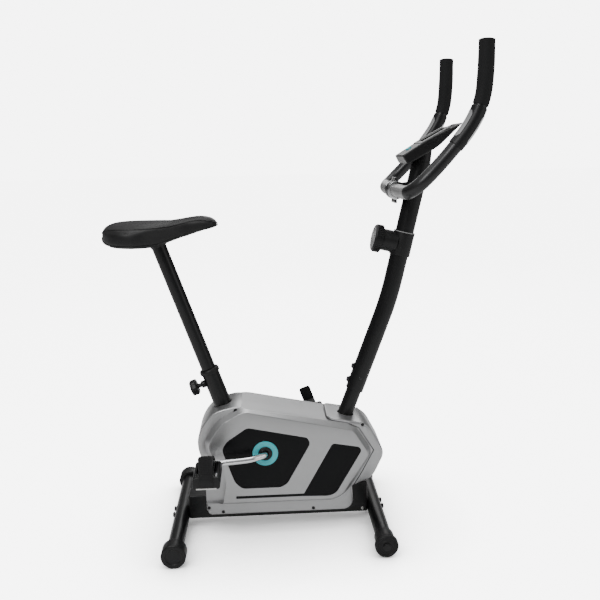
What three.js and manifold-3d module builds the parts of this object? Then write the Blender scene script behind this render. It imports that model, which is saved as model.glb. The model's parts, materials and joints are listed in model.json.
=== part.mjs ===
// Upright home exercise bike with magnetic resistance, one-piece crank, tilting bar and sliding saddle.
// Millimetres, +Z up, +X towards the handlebar, -Y is the rider's right-hand side.
// Every piece is modelled around the crank axis (X = 0, Y = 0) and the floor (Z = 0); the last lines
// centre the finished bike over the origin.
import * as THREE from 'three';
import { mergeVertices } from 'three/addons/utils/BufferGeometryUtils.js';
import Module from 'manifold-3d';

const wasm = await Module();
wasm.setup();

// ---------------------------------------------------------------- driving dimensions
const GAP = 0.3;                     // clearance left between two pieces that touch
const EPS = 1;                       // how far a cutter runs past the face that it opens
const RIGHT = -1;                    // sign of Y on the rider's right
const LEFT = 1;

const CRANK = {
  height: 212, length: 134, droop: 3.5, rod: 7.5, eyeRadius: 11, hubHalf: 84, bendRun: 36, armPlane: 106,
};
CRANK.eyeWidth = 2 * CRANK.rod + 1;
const PEDAL = {
  depth: 94, run: 62, rise: 30, corner: 7, gap: 2.5, spindle: 5, endWall: 6, leftTurn: 20,
};
const STRAP = { width: 31, thickness: 3, arch: 41, tailTop: 66, tailDrop: 6 };
const STABILIZER = { radius: 19, wall: 1.6, rearX: -216, frontX: 275, halfWidth: 216 };
const CAP = {
  radius: STABILIZER.radius + 10, sleeve: STABILIZER.radius + GAP + 3.7, depth: 36, endWall: 5, sides: 10,
};
const ROLLER = { radius: CAP.radius - 1.5, width: 15, axle: 5, head: 9, headDepth: 3 };
const BEAM = { width: 50, bottom: 22, height: 40, wall: 2, rearTop: 84, frontTop: 104 };
const BLOCK = {
  rearStart: STABILIZER.rearX + 18, rearEnd: -132, frontStart: 197, frontEnd: STABILIZER.frontX - 19,
  solid: 26, bolt: 16, boltLift: 2,
};
const SEAT_POST = {
  radius: 17.5, wall: 1.8, insert: 125, topAlong: 341, pitch: 25, holes: 9, holesBelow: 2, holeRadius: 4.5,
};
const COLLAR = { sleeveWall: 1.6, brim: 3, height: 11, sleeve: 30 };
const SEAT_TUBE = { tilt: 18.8, footX: -15.1, top: 399, wall: 1.8 };
SEAT_TUBE.radius = SEAT_POST.radius + COLLAR.sleeveWall + 2 * GAP + SEAT_TUBE.wall;
const PIN = {
  below: 22.5, boss: 9, bossEnd: SEAT_TUBE.radius + 9.5, neck: 5.5, knobStart: SEAT_TUBE.radius + 19.5,
  knobDepth: 18, knobRadius: 20, knobEdge: 2, lobes: 6, lobeDepth: 0.11,
};
const MAST = {
  tilt: 20.6, footX: 121.4, jointAlong: 300, lapEnd: 395, radius: 22, wall: 2.6, lapGap: 0.7,
  stubWall: 2, bendAlong: 546, bendReach: 50, topTilt: 13.2, topLength: 335,
};
MAST.stubRadius = MAST.radius - MAST.wall - MAST.lapGap;
const MAST_BOLT = { head: 6.5, headDepth: 5, shank: 4, alongs: [320, 356] };
const TENSION = {
  height: 706, sleeveRadius: MAST.radius + 2 * GAP + 2.7, sleeveLength: 58, neckStart: 14, neckRadius: 26,
  dialStart: MAST.radius + 29.5, dialDepth: 20, dialRadius: 33.5, spigot: 8,
};
const BAR = {
  x: 328, z: 834, half: 170, radius: 15.4, wall: 1.8,
  topX: 488, topZ: 1151, tipGap: 0.006, sides: 12, steps: 32,
};
const SENSOR = { radius: BAR.radius + 1.8, start: 0.555, end: 0.735 };
const GRIP = { radius: BAR.radius + 1.8, start: 0.74 };
const CLAMP = { radius: BAR.radius + GAP + 5.3, width: 46, lug: 9, split: 1, bridge: 15 };
const CONSOLE = {
  backX: 335.5, backZ: 914, length: 158, pitch: 28.3, thickness: 24, halfWidth: 50,
  screenWall: 2, button: 7, travel: 1.5,
};
const SADDLE = {
  rear: -366, nose: -96, halfWidth: 98, top: 775, bottom: 718, noseHalf: 26, crown: 11,
  riseFrom: -235, rise: 0.3, panDepth: 9, panInset: 14, socket: SEAT_POST.radius + 2.5, socketDepth: 20,
  dishing: 5,
};
const CASING = {
  wall: 3, half: 58, face: 75, bevel: 11, seatX: -67, topZ: 328, topSlope: -0.195, floor: 47,
  heelY: 48, passage: 2.2,
};
const COVER = { rise: 6, tongueX: 152 };
const DRIVE = {
  pulley: 88, small: 15, plane: 46, width: 12, beltThickness: 2.5, beltWidth: 10,
  flywheelX: 205, flywheelZ: 183, flywheel: 68, flywheelNear: 24, flywheelFar: 38, axle: 6,
  idler: 12, bracketNear: 19.3, bracketFar: 22.3,
};
const MAGNET = { gap: 3, depth: 7, from: 62, to: 132, pin: 3 };
const HUB = { radius: 20, half: 34, bore: CRANK.rod + 0.4, postGap: 0.4, postWidth: 26, postHalf: 15 };
const RING = { outer: 31, inner: 13, depth: 3 };
const INSET_DEPTH = 1.6;             // how deep the dark insets lie in the raised side panels

// ---------------------------------------------------------------- colours and finishes
const FINISH = {
  frame: { color: 0x1d1e20, roughness: 0.42, metalness: 0.3 },
  silver: { color: 0xb9bbbd, roughness: 0.45, metalness: 0.35 },
  inset: { color: 0x2d2e30, roughness: 0.55, metalness: 0.05 },
  accent: { color: 0x55c3cc, roughness: 0.4, metalness: 0 },
  chrome: { color: 0xe6e7e9, roughness: 0.12, metalness: 1 },
  steel: { color: 0x9a9da1, roughness: 0.4, metalness: 0.9 },
  plastic: { color: 0x202123, roughness: 0.6, metalness: 0 },
  rubber: { color: 0x1a1a1b, roughness: 0.85, metalness: 0 },
  foam: { color: 0x2a2b2c, roughness: 0.95, metalness: 0 },
  bar: { color: 0xa9acaf, roughness: 0.4, metalness: 0.4 },
  vinyl: { color: 0x1c1c1e, roughness: 0.55, metalness: 0 },
  glass: { color: 0x7c867c, roughness: 0.15, metalness: 0 },
};

// ---------------------------------------------------------------- geometry helpers
const rad = THREE.MathUtils.degToRad;
const at = (x, y, z) => new THREE.Vector3(x, y, z);

/** A closed geometry with merged corners as a manifold solid. */
function toSolid(geometry) {
  const bare = geometry.clone();
  for (const name of Object.keys(bare.attributes)) {
    if (name !== 'position') bare.deleteAttribute(name);
  }
  const merged = mergeVertices(bare, 1e-3);
  const corners = merged.index.array;
  const triVerts = [];
  for (let i = 0; i < corners.length; i += 3) {
    const [a, b, c] = [corners[i], corners[i + 1], corners[i + 2]];
    if (a !== b && b !== c && c !== a) triVerts.push(a, b, c);
  }
  return new wasm.Manifold(new wasm.Mesh({
    numProp: 3,
    vertProperties: new Float32Array(merged.attributes.position.array),
    triVerts: new Uint32Array(triVerts),
  }));
}

/** A manifold solid back as a three.js geometry. */
function toGeometry(solid) {
  const mesh = solid.getMesh();
  const geometry = new THREE.BufferGeometry();
  geometry.setAttribute('position', new THREE.BufferAttribute(new Float32Array(mesh.vertProperties), 3));
  geometry.setIndex(new THREE.BufferAttribute(new Uint32Array(mesh.triVerts), 1));
  geometry.computeVertexNormals();
  return geometry;
}

const join = (...geometries) => geometries.map(toSolid).reduce((sum, next) => sum.add(next));
const cut = (solid, ...geometries) => geometries.map(toSolid)
  .reduce((rest, tool) => rest.subtract(tool), solid);

/** A box between two opposite corners. */
function block(x0, x1, y0, y1, z0, z1) {
  const geometry = new THREE.BoxGeometry(x1 - x0, y1 - y0, z1 - z0);
  return geometry.translate((x0 + x1) / 2, (y0 + y1) / 2, (z0 + z1) / 2);
}

/** A round rod between two points; a second radius makes it taper. */
function rod(from, to, radius, sides = 20, endRadius = radius) {
  const along = to.clone().sub(from);
  const geometry = new THREE.CylinderGeometry(endRadius, radius, along.length(), sides);
  const turn = new THREE.Quaternion().setFromUnitVectors(at(0, 1, 0), along.clone().normalize());
  geometry.applyQuaternion(turn);
  const middle = from.clone().add(to).multiplyScalar(0.5);
  return geometry.translate(middle.x, middle.y, middle.z);
}

/** A rod along Y at (x, z), from y0 to y1. */
const rodY = (x, z, y0, y1, radius, sides = 20) => rod(at(x, y0, z), at(x, y1, z), radius, sides);

/** Corners of a regular section, for sweeps and polygons. */
function ringPoints(radius, sides, phase = 0) {
  return Array.from({ length: sides }, (_, i) => {
    const angle = phase + (i * 2 * Math.PI) / sides;
    return new THREE.Vector2(radius * Math.cos(angle), radius * Math.sin(angle));
  });
}

/** A section swept along a curve, closed at both ends. */
function sweep(curve, points, steps) {
  const shape = new THREE.Shape(points);
  return new THREE.ExtrudeGeometry(shape, { steps, extrudePath: curve, bevelEnabled: false });
}

/** An outline in X and Z, as [x, z] pairs, given a thickness from y0 to y1. */
function slab(outline, y0, y1, bevel = 0) {
  const shape = outline instanceof THREE.Shape
    ? outline : new THREE.Shape(outline.map(([x, z]) => new THREE.Vector2(x, z)));
  const geometry = new THREE.ExtrudeGeometry(shape, {
    depth: y1 - y0 - 2 * bevel, curveSegments: 3, bevelEnabled: bevel > 0, bevelSegments: 1,
    bevelThickness: bevel, bevelSize: bevel, bevelOffset: -bevel,
  });
  return geometry.rotateX(Math.PI / 2).translate(0, y1 - bevel, 0);
}

/** An outline of [x, z, radius] corners, with each corner rounded by its radius. */
function rounded(corners) {
  const shape = new THREE.Shape();
  const count = corners.length;
  corners.forEach(([x, z, radius = 0], i) => {
    const here = new THREE.Vector2(x, z);
    const before = new THREE.Vector2(...corners[(i + count - 1) % count].slice(0, 2));
    const after = new THREE.Vector2(...corners[(i + 1) % count].slice(0, 2));
    const toBefore = before.sub(here);
    const toAfter = after.sub(here);
    const reach = Math.min(radius, toBefore.length() * 0.48, toAfter.length() * 0.48);
    const start = here.clone().add(toBefore.setLength(reach));
    const end = here.clone().add(toAfter.setLength(reach));
    if (i === 0) shape.moveTo(start.x, start.y);
    else shape.lineTo(start.x, start.y);
    if (reach > 0) shape.quadraticCurveTo(here.x, here.y, end.x, end.y);
  });
  shape.closePath();
  return shape;
}

/** The same outline moved inwards by a wall, corner by corner. */
function inset(corners, wall) {
  const count = corners.length;
  return corners.map(([x, z, radius = 0], i) => {
    const here = new THREE.Vector2(x, z);
    const before = new THREE.Vector2(...corners[(i + count - 1) % count].slice(0, 2));
    const after = new THREE.Vector2(...corners[(i + 1) % count].slice(0, 2));
    const into = here.clone().sub(before).normalize();
    const out = after.sub(here).normalize();
    const normal = new THREE.Vector2(-into.y - out.y, into.x + out.x).normalize();
    const reach = wall / Math.max(0.35, normal.dot(new THREE.Vector2(-into.y, into.x)));
    return [x + normal.x * reach, z + normal.y * reach, Math.max(0, radius - wall)];
  });
}

/** A straight line's point and direction in the X-Z plane, leaning by a tilt from vertical. */
function leaningLine(footX, footZ, tilt, lean) {
  const along = at(lean * Math.sin(rad(tilt)), 0, Math.cos(rad(tilt)));
  const point = (distance) => at(footX, 0, footZ).addScaledVector(along, distance);
  return { along, point, back: at(-Math.cos(rad(tilt)), 0, lean * Math.sin(rad(tilt))) };
}

/** A closed pipe: an outer rod with a smaller one bored out of it. */
function pipe(from, to, outer, inner, sides = 20) {
  const along = to.clone().sub(from).normalize();
  const [start, end] = [from.clone().addScaledVector(along, -EPS), to.clone().addScaledVector(along, EPS)];
  return cut(toSolid(rod(from, to, outer, sides)), rod(start, end, inner, sides));
}

/** Moves every corner of a geometry by a rule. */
function sculpt(geometry, rule) {
  const position = geometry.attributes.position;
  const corner = new THREE.Vector3();
  for (let i = 0; i < position.count; i += 1) {
    corner.fromBufferAttribute(position, i);
    rule(corner);
    position.setXYZ(i, corner.x, corner.y, corner.z);
  }
  return geometry;
}

// ---------------------------------------------------------------- the bike
const bike = new THREE.Group();

/** Adds one named piece; a manifold solid is turned back into a geometry first. */
function add(name, shape, finish) {
  const geometry = shape.isBufferGeometry ? shape : toGeometry(shape);
  const mesh = new THREE.Mesh(geometry, new THREE.MeshStandardMaterial(FINISH[finish]));
  mesh.name = name;
  bike.add(mesh);
  return mesh;
}

/** A solid turned about an axis along Y through (x, z), as a geometry. */
function turnedAboutY(solid, x, z, degrees) {
  return toGeometry(solid).translate(-x, 0, -z).rotateY(rad(degrees)).translate(x, 0, z);
}

const sideName = (sign) => (sign === RIGHT ? 'right' : 'left');
/** Orders a span on one side of the mid-plane, from its inner to its outer distance. */
const spanY = (sign, inner, outer) => (sign > 0 ? [inner, outer] : [-outer, -inner]);

// Lines that more than one piece follows
const beamTop = BEAM.bottom + BEAM.height;
const axleZ = CAP.radius;                        // the stabilizer tubes lie at the caps' centre height
const seatLine = leaningLine(SEAT_TUBE.footX, beamTop, SEAT_TUBE.tilt, -1);
const mastLine = leaningLine(MAST.footX, beamTop, MAST.tilt, 1);
const seatTubeLength = (SEAT_TUBE.top - beamTop) / Math.cos(rad(SEAT_TUBE.tilt));
const casingTop = (x) => CASING.topZ + CASING.topSlope * (x - CASING.seatX);

/** The four carriage bolts: each runs along X through a stabilizer tube into the block behind it. */
function stabilizerBolts() {
  const z = axleZ + BLOCK.boltLift;
  const ends = [
    { name: 'rear', x: STABILIZER.rearX, inward: 1, wallEnd: BLOCK.rearStart + BLOCK.solid },
    { name: 'front', x: STABILIZER.frontX, inward: -1, wallEnd: BLOCK.frontEnd - BLOCK.solid },
  ];
  return ends.flatMap(({ name, x, inward, wallEnd }) => [RIGHT, LEFT].map((sign) => {
    const point = (px) => at(px, sign * BLOCK.bolt, z);
    const headX = x - inward * (STABILIZER.radius + GAP);
    const nutX = wallEnd + inward * GAP;
    return {
      name: `stabilizer_bolt_${name}_${sideName(sign)}`,
      solid: join(
        rod(point(headX), point(headX - inward * 4), 8, 16, 5),
        rod(point(headX - inward), point(nutX + inward), 3.7, 12),
        rod(point(nutX), point(nutX + inward * 6), 6, 6),
      ),
      hole: rod(point(headX), point(nutX + inward * 3), 4.1, 12),
    };
  }));
}

// ---- frame weldment
function frameBeam() {
  const half = BEAM.width / 2;
  const w = BEAM.wall;
  const outer = join(
    block(BLOCK.rearStart, BLOCK.frontEnd, -half, half, BEAM.bottom, beamTop),
    block(BLOCK.rearStart, BLOCK.rearEnd, -half, half, BEAM.bottom, BEAM.rearTop),
    block(BLOCK.frontStart, BLOCK.frontEnd, -half, half, BEAM.bottom, BEAM.frontTop),
  );
  const hollowStart = BLOCK.rearStart + BLOCK.solid;
  const hollowEnd = BLOCK.frontEnd - BLOCK.solid;
  const hollow = join(
    block(hollowStart, hollowEnd, -half + w, half - w, BEAM.bottom + w, beamTop - w),
    block(hollowStart, BLOCK.rearEnd - w, -half + w, half - w, BEAM.bottom + w, BEAM.rearTop - w),
    block(BLOCK.frontStart + w, hollowEnd, -half + w, half - w, BEAM.bottom + w, BEAM.frontTop - w),
  );
  const drains = [-100, 100].map(
    (x) => rod(at(x, 0, BEAM.bottom - EPS), at(x, 0, BEAM.bottom + w + EPS), 4, 12));
  const saddles = [STABILIZER.rearX, STABILIZER.frontX].map(
    (x) => rodY(x, axleZ, -half - EPS, half + EPS, STABILIZER.radius + GAP, 24));
  return cut(outer.subtract(hollow), ...drains, ...saddles, ...stabilizerBolts().map((bolt) => bolt.hole));
}

/** Cuts the end of an upright tube flat at the beam's top face. */
const beamFace = () => block(-400, 400, -60, 60, -50, beamTop + GAP);

function seatTube() {
  const end = seatLine.point(seatTubeLength);
  const start = seatLine.point(-20);
  const tube = pipe(start, end, SEAT_TUBE.radius, SEAT_TUBE.radius - SEAT_TUBE.wall, 24);
  const boss = rod(pinPoint(SEAT_TUBE.radius - 1.2), pinPoint(PIN.bossEnd), PIN.boss, 16);
  const bore = rod(pinPoint(0), pinPoint(PIN.bossEnd + EPS), PIN.neck + GAP, 16);
  return cut(tube.add(toSolid(boss)), bore, beamFace());
}

/** A point on the pop pin's axis, at a distance behind the seat tube's axis. */
function pinPoint(distance) {
  return seatLine.point(seatTubeLength - PIN.below).addScaledVector(seatLine.back, distance);
}

function mastStub() {
  const tube = pipe(mastLine.point(-20), mastLine.point(MAST.lapEnd - GAP), MAST.stubRadius,
    MAST.stubRadius - MAST.stubWall, 20);
  return cut(tube, beamFace(), ...MAST_BOLT.alongs.map((along) => mastBolt(along).hole));
}

/** A bolt through the rear wall of the mast and the stub inside it. */
function mastBolt(along) {
  const point = (distance) => mastLine.point(along).addScaledVector(mastLine.back, distance);
  const seat = MAST.radius + GAP;
  const end = MAST.stubRadius - MAST.stubWall - 4;
  return {
    solid: join(
      rod(point(seat), point(seat + 1.5), MAST_BOLT.head + 1.5, 16),
      rod(point(seat + 1), point(seat + MAST_BOLT.headDepth), MAST_BOLT.head, 6),
      rod(point(end), point(seat + 1), MAST_BOLT.shank, 12),
    ),
    hole: rod(point(end - 4), point(seat + 2), MAST_BOLT.shank + GAP, 12),
  };
}

function hubShell() {
  const shell = rodY(0, CRANK.height, -HUB.half, HUB.half, HUB.radius, 20);
  const postX = SEAT_TUBE.footX + SEAT_TUBE.radius / Math.cos(rad(SEAT_TUBE.tilt)) + HUB.postGap;
  const post = block(postX, postX + HUB.postWidth, -HUB.postHalf, HUB.postHalf,
    beamTop + GAP, CRANK.height);
  return cut(join(shell, post), rodY(0, CRANK.height, -HUB.half - EPS, HUB.half + EPS, HUB.bore, 24));
}

/** Where the belt's lower run passes, and the idler that presses on it. */
function beltLine() {
  const large = new THREE.Vector2(0, CRANK.height);
  const small = new THREE.Vector2(DRIVE.flywheelX, DRIVE.flywheelZ);
  const between = small.clone().sub(large);
  const lean = Math.asin((DRIVE.pulley - DRIVE.small) / between.length());
  const base = Math.atan2(between.y, between.x);
  const run = (turn, offset) => {
    const angle = base + turn * (Math.PI / 2 - lean);
    const normal = new THREE.Vector2(Math.cos(angle), Math.sin(angle));
    return [
      large.clone().addScaledVector(normal, DRIVE.pulley + offset),
      small.clone().addScaledVector(normal, DRIVE.small + offset),
    ];
  };
  const [a, b] = run(-1, DRIVE.beltThickness + 2 * GAP + DRIVE.idler);
  return { large, small, lean, base, idler: a.clone().lerp(b, 0.5) };
}

function flywheelBracket() {
  const { idler } = beltLine();
  const pivot = magnetPivot();
  const outline = [
    [DRIVE.flywheelX + 12, DRIVE.flywheelZ - 10], [DRIVE.flywheelX + 12, DRIVE.flywheelZ + 12],
    [pivot.x + 9, pivot.y + 9], [pivot.x - 9, pivot.y + 9], [pivot.x - 9, pivot.y - 9],
    [idler.x - 8, idler.y + 8], [idler.x - 8, idler.y - 8], [idler.x + 8, idler.y - 8],
  ];
  const { bracketNear: near, bracketFar: far } = DRIVE;
  const pinEnd = DRIVE.plane + DRIVE.width / 2 + 2;
  return join(
    slab(outline, near, far),
    rodY(DRIVE.flywheelX, DRIVE.flywheelZ, far - EPS, pinEnd, DRIVE.axle, 16),
    rodY(idler.x, idler.y, far - EPS, pinEnd, 4, 12),
    rodY(pivot.x, pivot.y, far - EPS, DRIVE.flywheelFar, MAGNET.pin, 12),
  );
}

/** The magnet bracket hangs on a pin just outside the flywheel's rim. */
function magnetPivot() {
  const radius = DRIVE.flywheel + MAGNET.gap + MAGNET.depth / 2;
  const angle = rad(MAGNET.to);
  return new THREE.Vector2(DRIVE.flywheelX, DRIVE.flywheelZ)
    .add(new THREE.Vector2(Math.cos(angle), Math.sin(angle)).multiplyScalar(radius));
}

// ---- stabilizers, caps and rollers
function stabilizerTube(x, name) {
  const half = STABILIZER.halfWidth - CAP.endWall - GAP;
  const inner = name === 'front' ? half - ROLLER.width - ROLLER.headDepth - 2 * GAP : half;
  const tube = pipe(at(x, -inner, axleZ), at(x, inner, axleZ), STABILIZER.radius,
    STABILIZER.radius - STABILIZER.wall, 24);
  return cut(tube, ...stabilizerBolts().map((bolt) => bolt.hole));
}

function rearCap(sign) {
  const x = STABILIZER.rearX;
  const [y0, y1] = spanY(sign, STABILIZER.halfWidth - CAP.depth, STABILIZER.halfWidth);
  const cornerRadius = CAP.radius / Math.cos(Math.PI / CAP.sides);
  const outline = ringPoints(cornerRadius, CAP.sides, -Math.PI / 2 + Math.PI / CAP.sides)
    .map((p) => [x + p.x, axleZ + p.y, 5]);
  const [b0, b1] = spanY(sign, STABILIZER.halfWidth - CAP.depth - EPS, STABILIZER.halfWidth - CAP.endWall);
  return cut(toSolid(slab(rounded(outline), y0, y1, 2)), rodY(x, axleZ, b0, b1, STABILIZER.radius + GAP, 24));
}

function frontCap(sign) {
  const x = STABILIZER.frontX;
  const outer = STABILIZER.halfWidth - ROLLER.headDepth;
  const wall = outer - ROLLER.width - 2 * GAP;
  const inner = wall - CAP.depth;
  const [y0, y1] = spanY(sign, inner, wall);
  const [b0, b1] = spanY(sign, inner - EPS, wall - CAP.endWall);
  const [a0, a1] = spanY(sign, wall - EPS, outer + GAP);
  const [h0, h1] = spanY(sign, outer, STABILIZER.halfWidth);
  return cut(
    join(
      rodY(x, axleZ, y0, y1, CAP.sleeve, 24),
      block(x - 17, x + 17, y0, y1, 0, axleZ),
      rodY(x, axleZ, a0, a1, ROLLER.axle, 16),
      rodY(x, axleZ, h0, h1, ROLLER.head, 20),
    ),
    rodY(x, axleZ, b0, b1, STABILIZER.radius + GAP, 24),
  );
}

function roller(sign) {
  const x = STABILIZER.frontX;
  const outer = STABILIZER.halfWidth - ROLLER.headDepth - GAP;
  const [y0, y1] = spanY(sign, outer - ROLLER.width, outer);
  const centre = new THREE.Vector2(x, axleZ);
  const tread = new THREE.Shape(ringPoints(ROLLER.radius, 20).map((point) => point.add(centre)));
  return cut(toSolid(slab(tread, y0, y1, 2)), rodY(x, axleZ, y0 - EPS, y1 + EPS, ROLLER.axle + GAP, 16));
}

// ---- crank, pulley, belt, flywheel
const crankEnd = (sign) => {
  const reach = sign === RIGHT ? -1 : 1;
  return at(reach * CRANK.length * Math.cos(rad(CRANK.droop)), 0,
    CRANK.height + reach * CRANK.length * Math.sin(rad(CRANK.droop)));
};

function crank() {
  const armPoints = (sign) => {
    const end = crankEnd(sign);
    const unit = end.clone().sub(at(0, 0, CRANK.height)).normalize();
    const point = (along, y) => at(unit.x * along, sign * y, CRANK.height + unit.z * along);
    return [
      point(CRANK.length, CRANK.armPlane), point(CRANK.length * 0.6, CRANK.armPlane),
      point(CRANK.bendRun, CRANK.armPlane - 3), point(CRANK.bendRun * 0.45, CRANK.armPlane - 12),
      point(3, CRANK.hubHalf + 2), point(0, CRANK.hubHalf - 10), point(0, DRIVE.plane + DRIVE.width),
    ];
  };
  const path = new THREE.CatmullRomCurve3(
    [...armPoints(RIGHT), at(0, 0, CRANK.height), ...armPoints(LEFT).reverse()], false, 'centripetal');
  const eyes = [RIGHT, LEFT].map((sign) => {
    const end = crankEnd(sign);
    const [y0, y1] = spanY(sign, CRANK.armPlane - CRANK.eyeWidth / 2, CRANK.armPlane + CRANK.eyeWidth / 2);
    return rodY(end.x, end.z, y0, y1, CRANK.eyeRadius, 24);
  });
  const bar = join(sweep(path, ringPoints(CRANK.rod, 10), 30), ...eyes);
  const holes = [RIGHT, LEFT].map((sign) => {
    const end = crankEnd(sign);
    const [y0, y1] = spanY(sign, CRANK.armPlane - 20, CRANK.armPlane + 20);
    return rodY(end.x, end.z, y0, y1, PEDAL.spindle + GAP, 16);
  });
  return cut(bar, ...holes);
}

function drivePulley() {
  const y0 = DRIVE.plane - DRIVE.width / 2;
  const y1 = y0 + DRIVE.width;
  const disc = toSolid(rodY(0, CRANK.height, y0, y1, DRIVE.pulley, 32));
  const windows = Array.from({ length: 5 }, (_, i) => {
    const angle = (i * 2 * Math.PI) / 5;
    return rodY(52 * Math.cos(angle), CRANK.height + 52 * Math.sin(angle), y0 - EPS, y1 + EPS, 20, 12);
  });
  return cut(disc, rodY(0, CRANK.height, y0 - EPS, y1 + EPS, CRANK.rod + GAP, 20), ...windows);
}

function belt() {
  const { large, small, lean, base } = beltLine();
  const loop = (extra) => {
    const points = [];
    const spread = Math.PI / 2 - lean;
    const steps = 24;
    for (let i = 0; i <= steps; i += 1) {
      const angle = base + spread + ((2 * Math.PI - 2 * spread) * i) / steps;
      points.push(large.clone().add(new THREE.Vector2(Math.cos(angle), Math.sin(angle))
        .multiplyScalar(DRIVE.pulley + extra)));
    }
    for (let i = 0; i <= 8; i += 1) {
      const angle = base - spread + (2 * spread * i) / 8;
      points.push(small.clone().add(new THREE.Vector2(Math.cos(angle), Math.sin(angle))
        .multiplyScalar(DRIVE.small + extra)));
    }
    return new THREE.Shape(points);
  };
  const y0 = DRIVE.plane - DRIVE.beltWidth / 2;
  const y1 = y0 + DRIVE.beltWidth;
  return cut(toSolid(slab(loop(GAP + DRIVE.beltThickness), y0, y1)), slab(loop(GAP), y0 - EPS, y1 + EPS));
}

function flywheel() {
  const { flywheelX: x, flywheelZ: z, plane, width } = DRIVE;
  const wheel = join(
    rodY(x, z, DRIVE.flywheelNear, DRIVE.flywheelFar, DRIVE.flywheel, 28),
    rodY(x, z, DRIVE.flywheelFar - EPS, plane + width / 2, DRIVE.small, 24),
  );
  return cut(wheel, rodY(x, z, DRIVE.flywheelNear - EPS, plane + width, DRIVE.axle + GAP, 16));
}

function idlerPulley() {
  const { idler } = beltLine();
  const y0 = DRIVE.plane - DRIVE.width / 2;
  return cut(toSolid(rodY(idler.x, idler.y, y0, y0 + DRIVE.width, DRIVE.idler, 20)),
    rodY(idler.x, idler.y, y0 - EPS, y0 + DRIVE.width + EPS, 4 + GAP, 12));
}

function magnetBracket() {
  const centre = new THREE.Vector2(DRIVE.flywheelX, DRIVE.flywheelZ);
  const inner = DRIVE.flywheel + MAGNET.gap;
  const arc = (radius, from, to) => Array.from({ length: 13 }, (_, i) => {
    const angle = rad(from + ((to - from) * i) / 12);
    return centre.clone().add(new THREE.Vector2(Math.cos(angle), Math.sin(angle)).multiplyScalar(radius));
  });
  const end = MAGNET.to + 4;
  const outline = [...arc(inner + MAGNET.depth, MAGNET.from, end), ...arc(inner, end, MAGNET.from)];
  const pivot = magnetPivot();
  const { flywheelNear: near, flywheelFar: far } = DRIVE;
  return cut(
    join(slab(new THREE.Shape(outline), near, far), rodY(pivot.x, pivot.y, near, far, MAGNET.pin + 2.4, 16)),
    rodY(pivot.x, pivot.y, near - EPS, far + EPS, MAGNET.pin + GAP, 12),
    rodY(centre.x, centre.y, near - EPS, far + EPS, inner - 0.5, 28),
  );
}

// ---- pedals
function pedalPieces(sign) {
  const { x, z } = crankEnd(sign);
  const innerY = CRANK.armPlane + CRANK.eyeWidth / 2 + PEDAL.gap;
  const outerY = innerY + PEDAL.depth;
  const [y0, y1] = spanY(sign, innerY, outerY);
  const halfRun = PEDAL.run / 2;
  const halfRise = PEDAL.rise / 2;
  const profile = [
    [x - halfRun, z - halfRise, PEDAL.corner], [x + halfRun, z - halfRise, PEDAL.corner],
    [x + halfRun, z + halfRise * 0.8, PEDAL.corner], [x, z + halfRise, 20],
    [x - halfRun, z + halfRise * 0.8, PEDAL.corner],
  ];
  const [s0, s1] = spanY(sign, innerY - EPS, outerY - PEDAL.endWall);
  const slots = [-1, 1].map((end) => {
    const [w0, w1] = spanY(sign, innerY + 8, outerY - 8);
    return block(x + end * 20 - 4, x + end * 20 + 4, w0, w1, z - halfRise - EPS, z + halfRise + EPS);
  });
  const body = cut(toSolid(slab(rounded(profile), y0, y1, 2)),
    rodY(x, z, s0, s1, PEDAL.spindle + GAP, 16), ...slots);

  const [p0, p1] = spanY(sign, CRANK.armPlane - CRANK.eyeWidth / 2 + 1, outerY - PEDAL.endWall - GAP);
  const [c0, c1] = spanY(sign, CRANK.armPlane + CRANK.eyeWidth / 2 + GAP, innerY - GAP);
  const spindle = join(rodY(x, z, p0, p1, PEDAL.spindle, 16), rodY(x, z, c0, c1, 8, 16));

  const top = z + halfRise + GAP;
  const t = STRAP.thickness;
  const face = outerY + GAP;
  const centreLine = [
    [innerY + 4, top + t / 2], [innerY + 16, top + 13], [innerY + 34, z + STRAP.arch - t],
    [innerY + 58, z + STRAP.arch - t - 2], [innerY + 80, top + 15], [face + t / 2, z + halfRise - 2],
    [face + t / 2 + 0.6, z - STRAP.tailDrop],
  ].map(([y, height]) => at(x, sign * y, height));
  const ribbon = ribbonSolid(new THREE.CatmullRomCurve3(centreLine), t, STRAP.width, 22);
  const tailY = spanY(sign, face, face + t);
  const halfStrap = STRAP.width / 2;
  const tail = block(x - halfStrap, x + halfStrap, ...tailY, z - STRAP.tailDrop, z + STRAP.tailTop);
  const corners = [-1, 1].map((end) => rodCorner(x + end * halfStrap, z + STRAP.tailTop, tailY));
  const tip = cut(toSolid(tail), ...corners);
  const bodyRoom = spanY(sign, innerY - 2, outerY + GAP * 0.98);
  const keep = cut(toSolid(ribbon).add(tip), block(x - 60, x + 60, ...bodyRoom, z - 40, top - 0.001));
  return { body, spindle, strap: keep };
}

/** A diamond that takes a corner off the strap's tip. */
function rodCorner(x, z, [y0, y1]) {
  const geometry = new THREE.BoxGeometry(9, y1 - y0 + 2 * EPS, 9).rotateY(Math.PI / 4);
  return geometry.translate(x, (y0 + y1) / 2, z);
}

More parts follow.
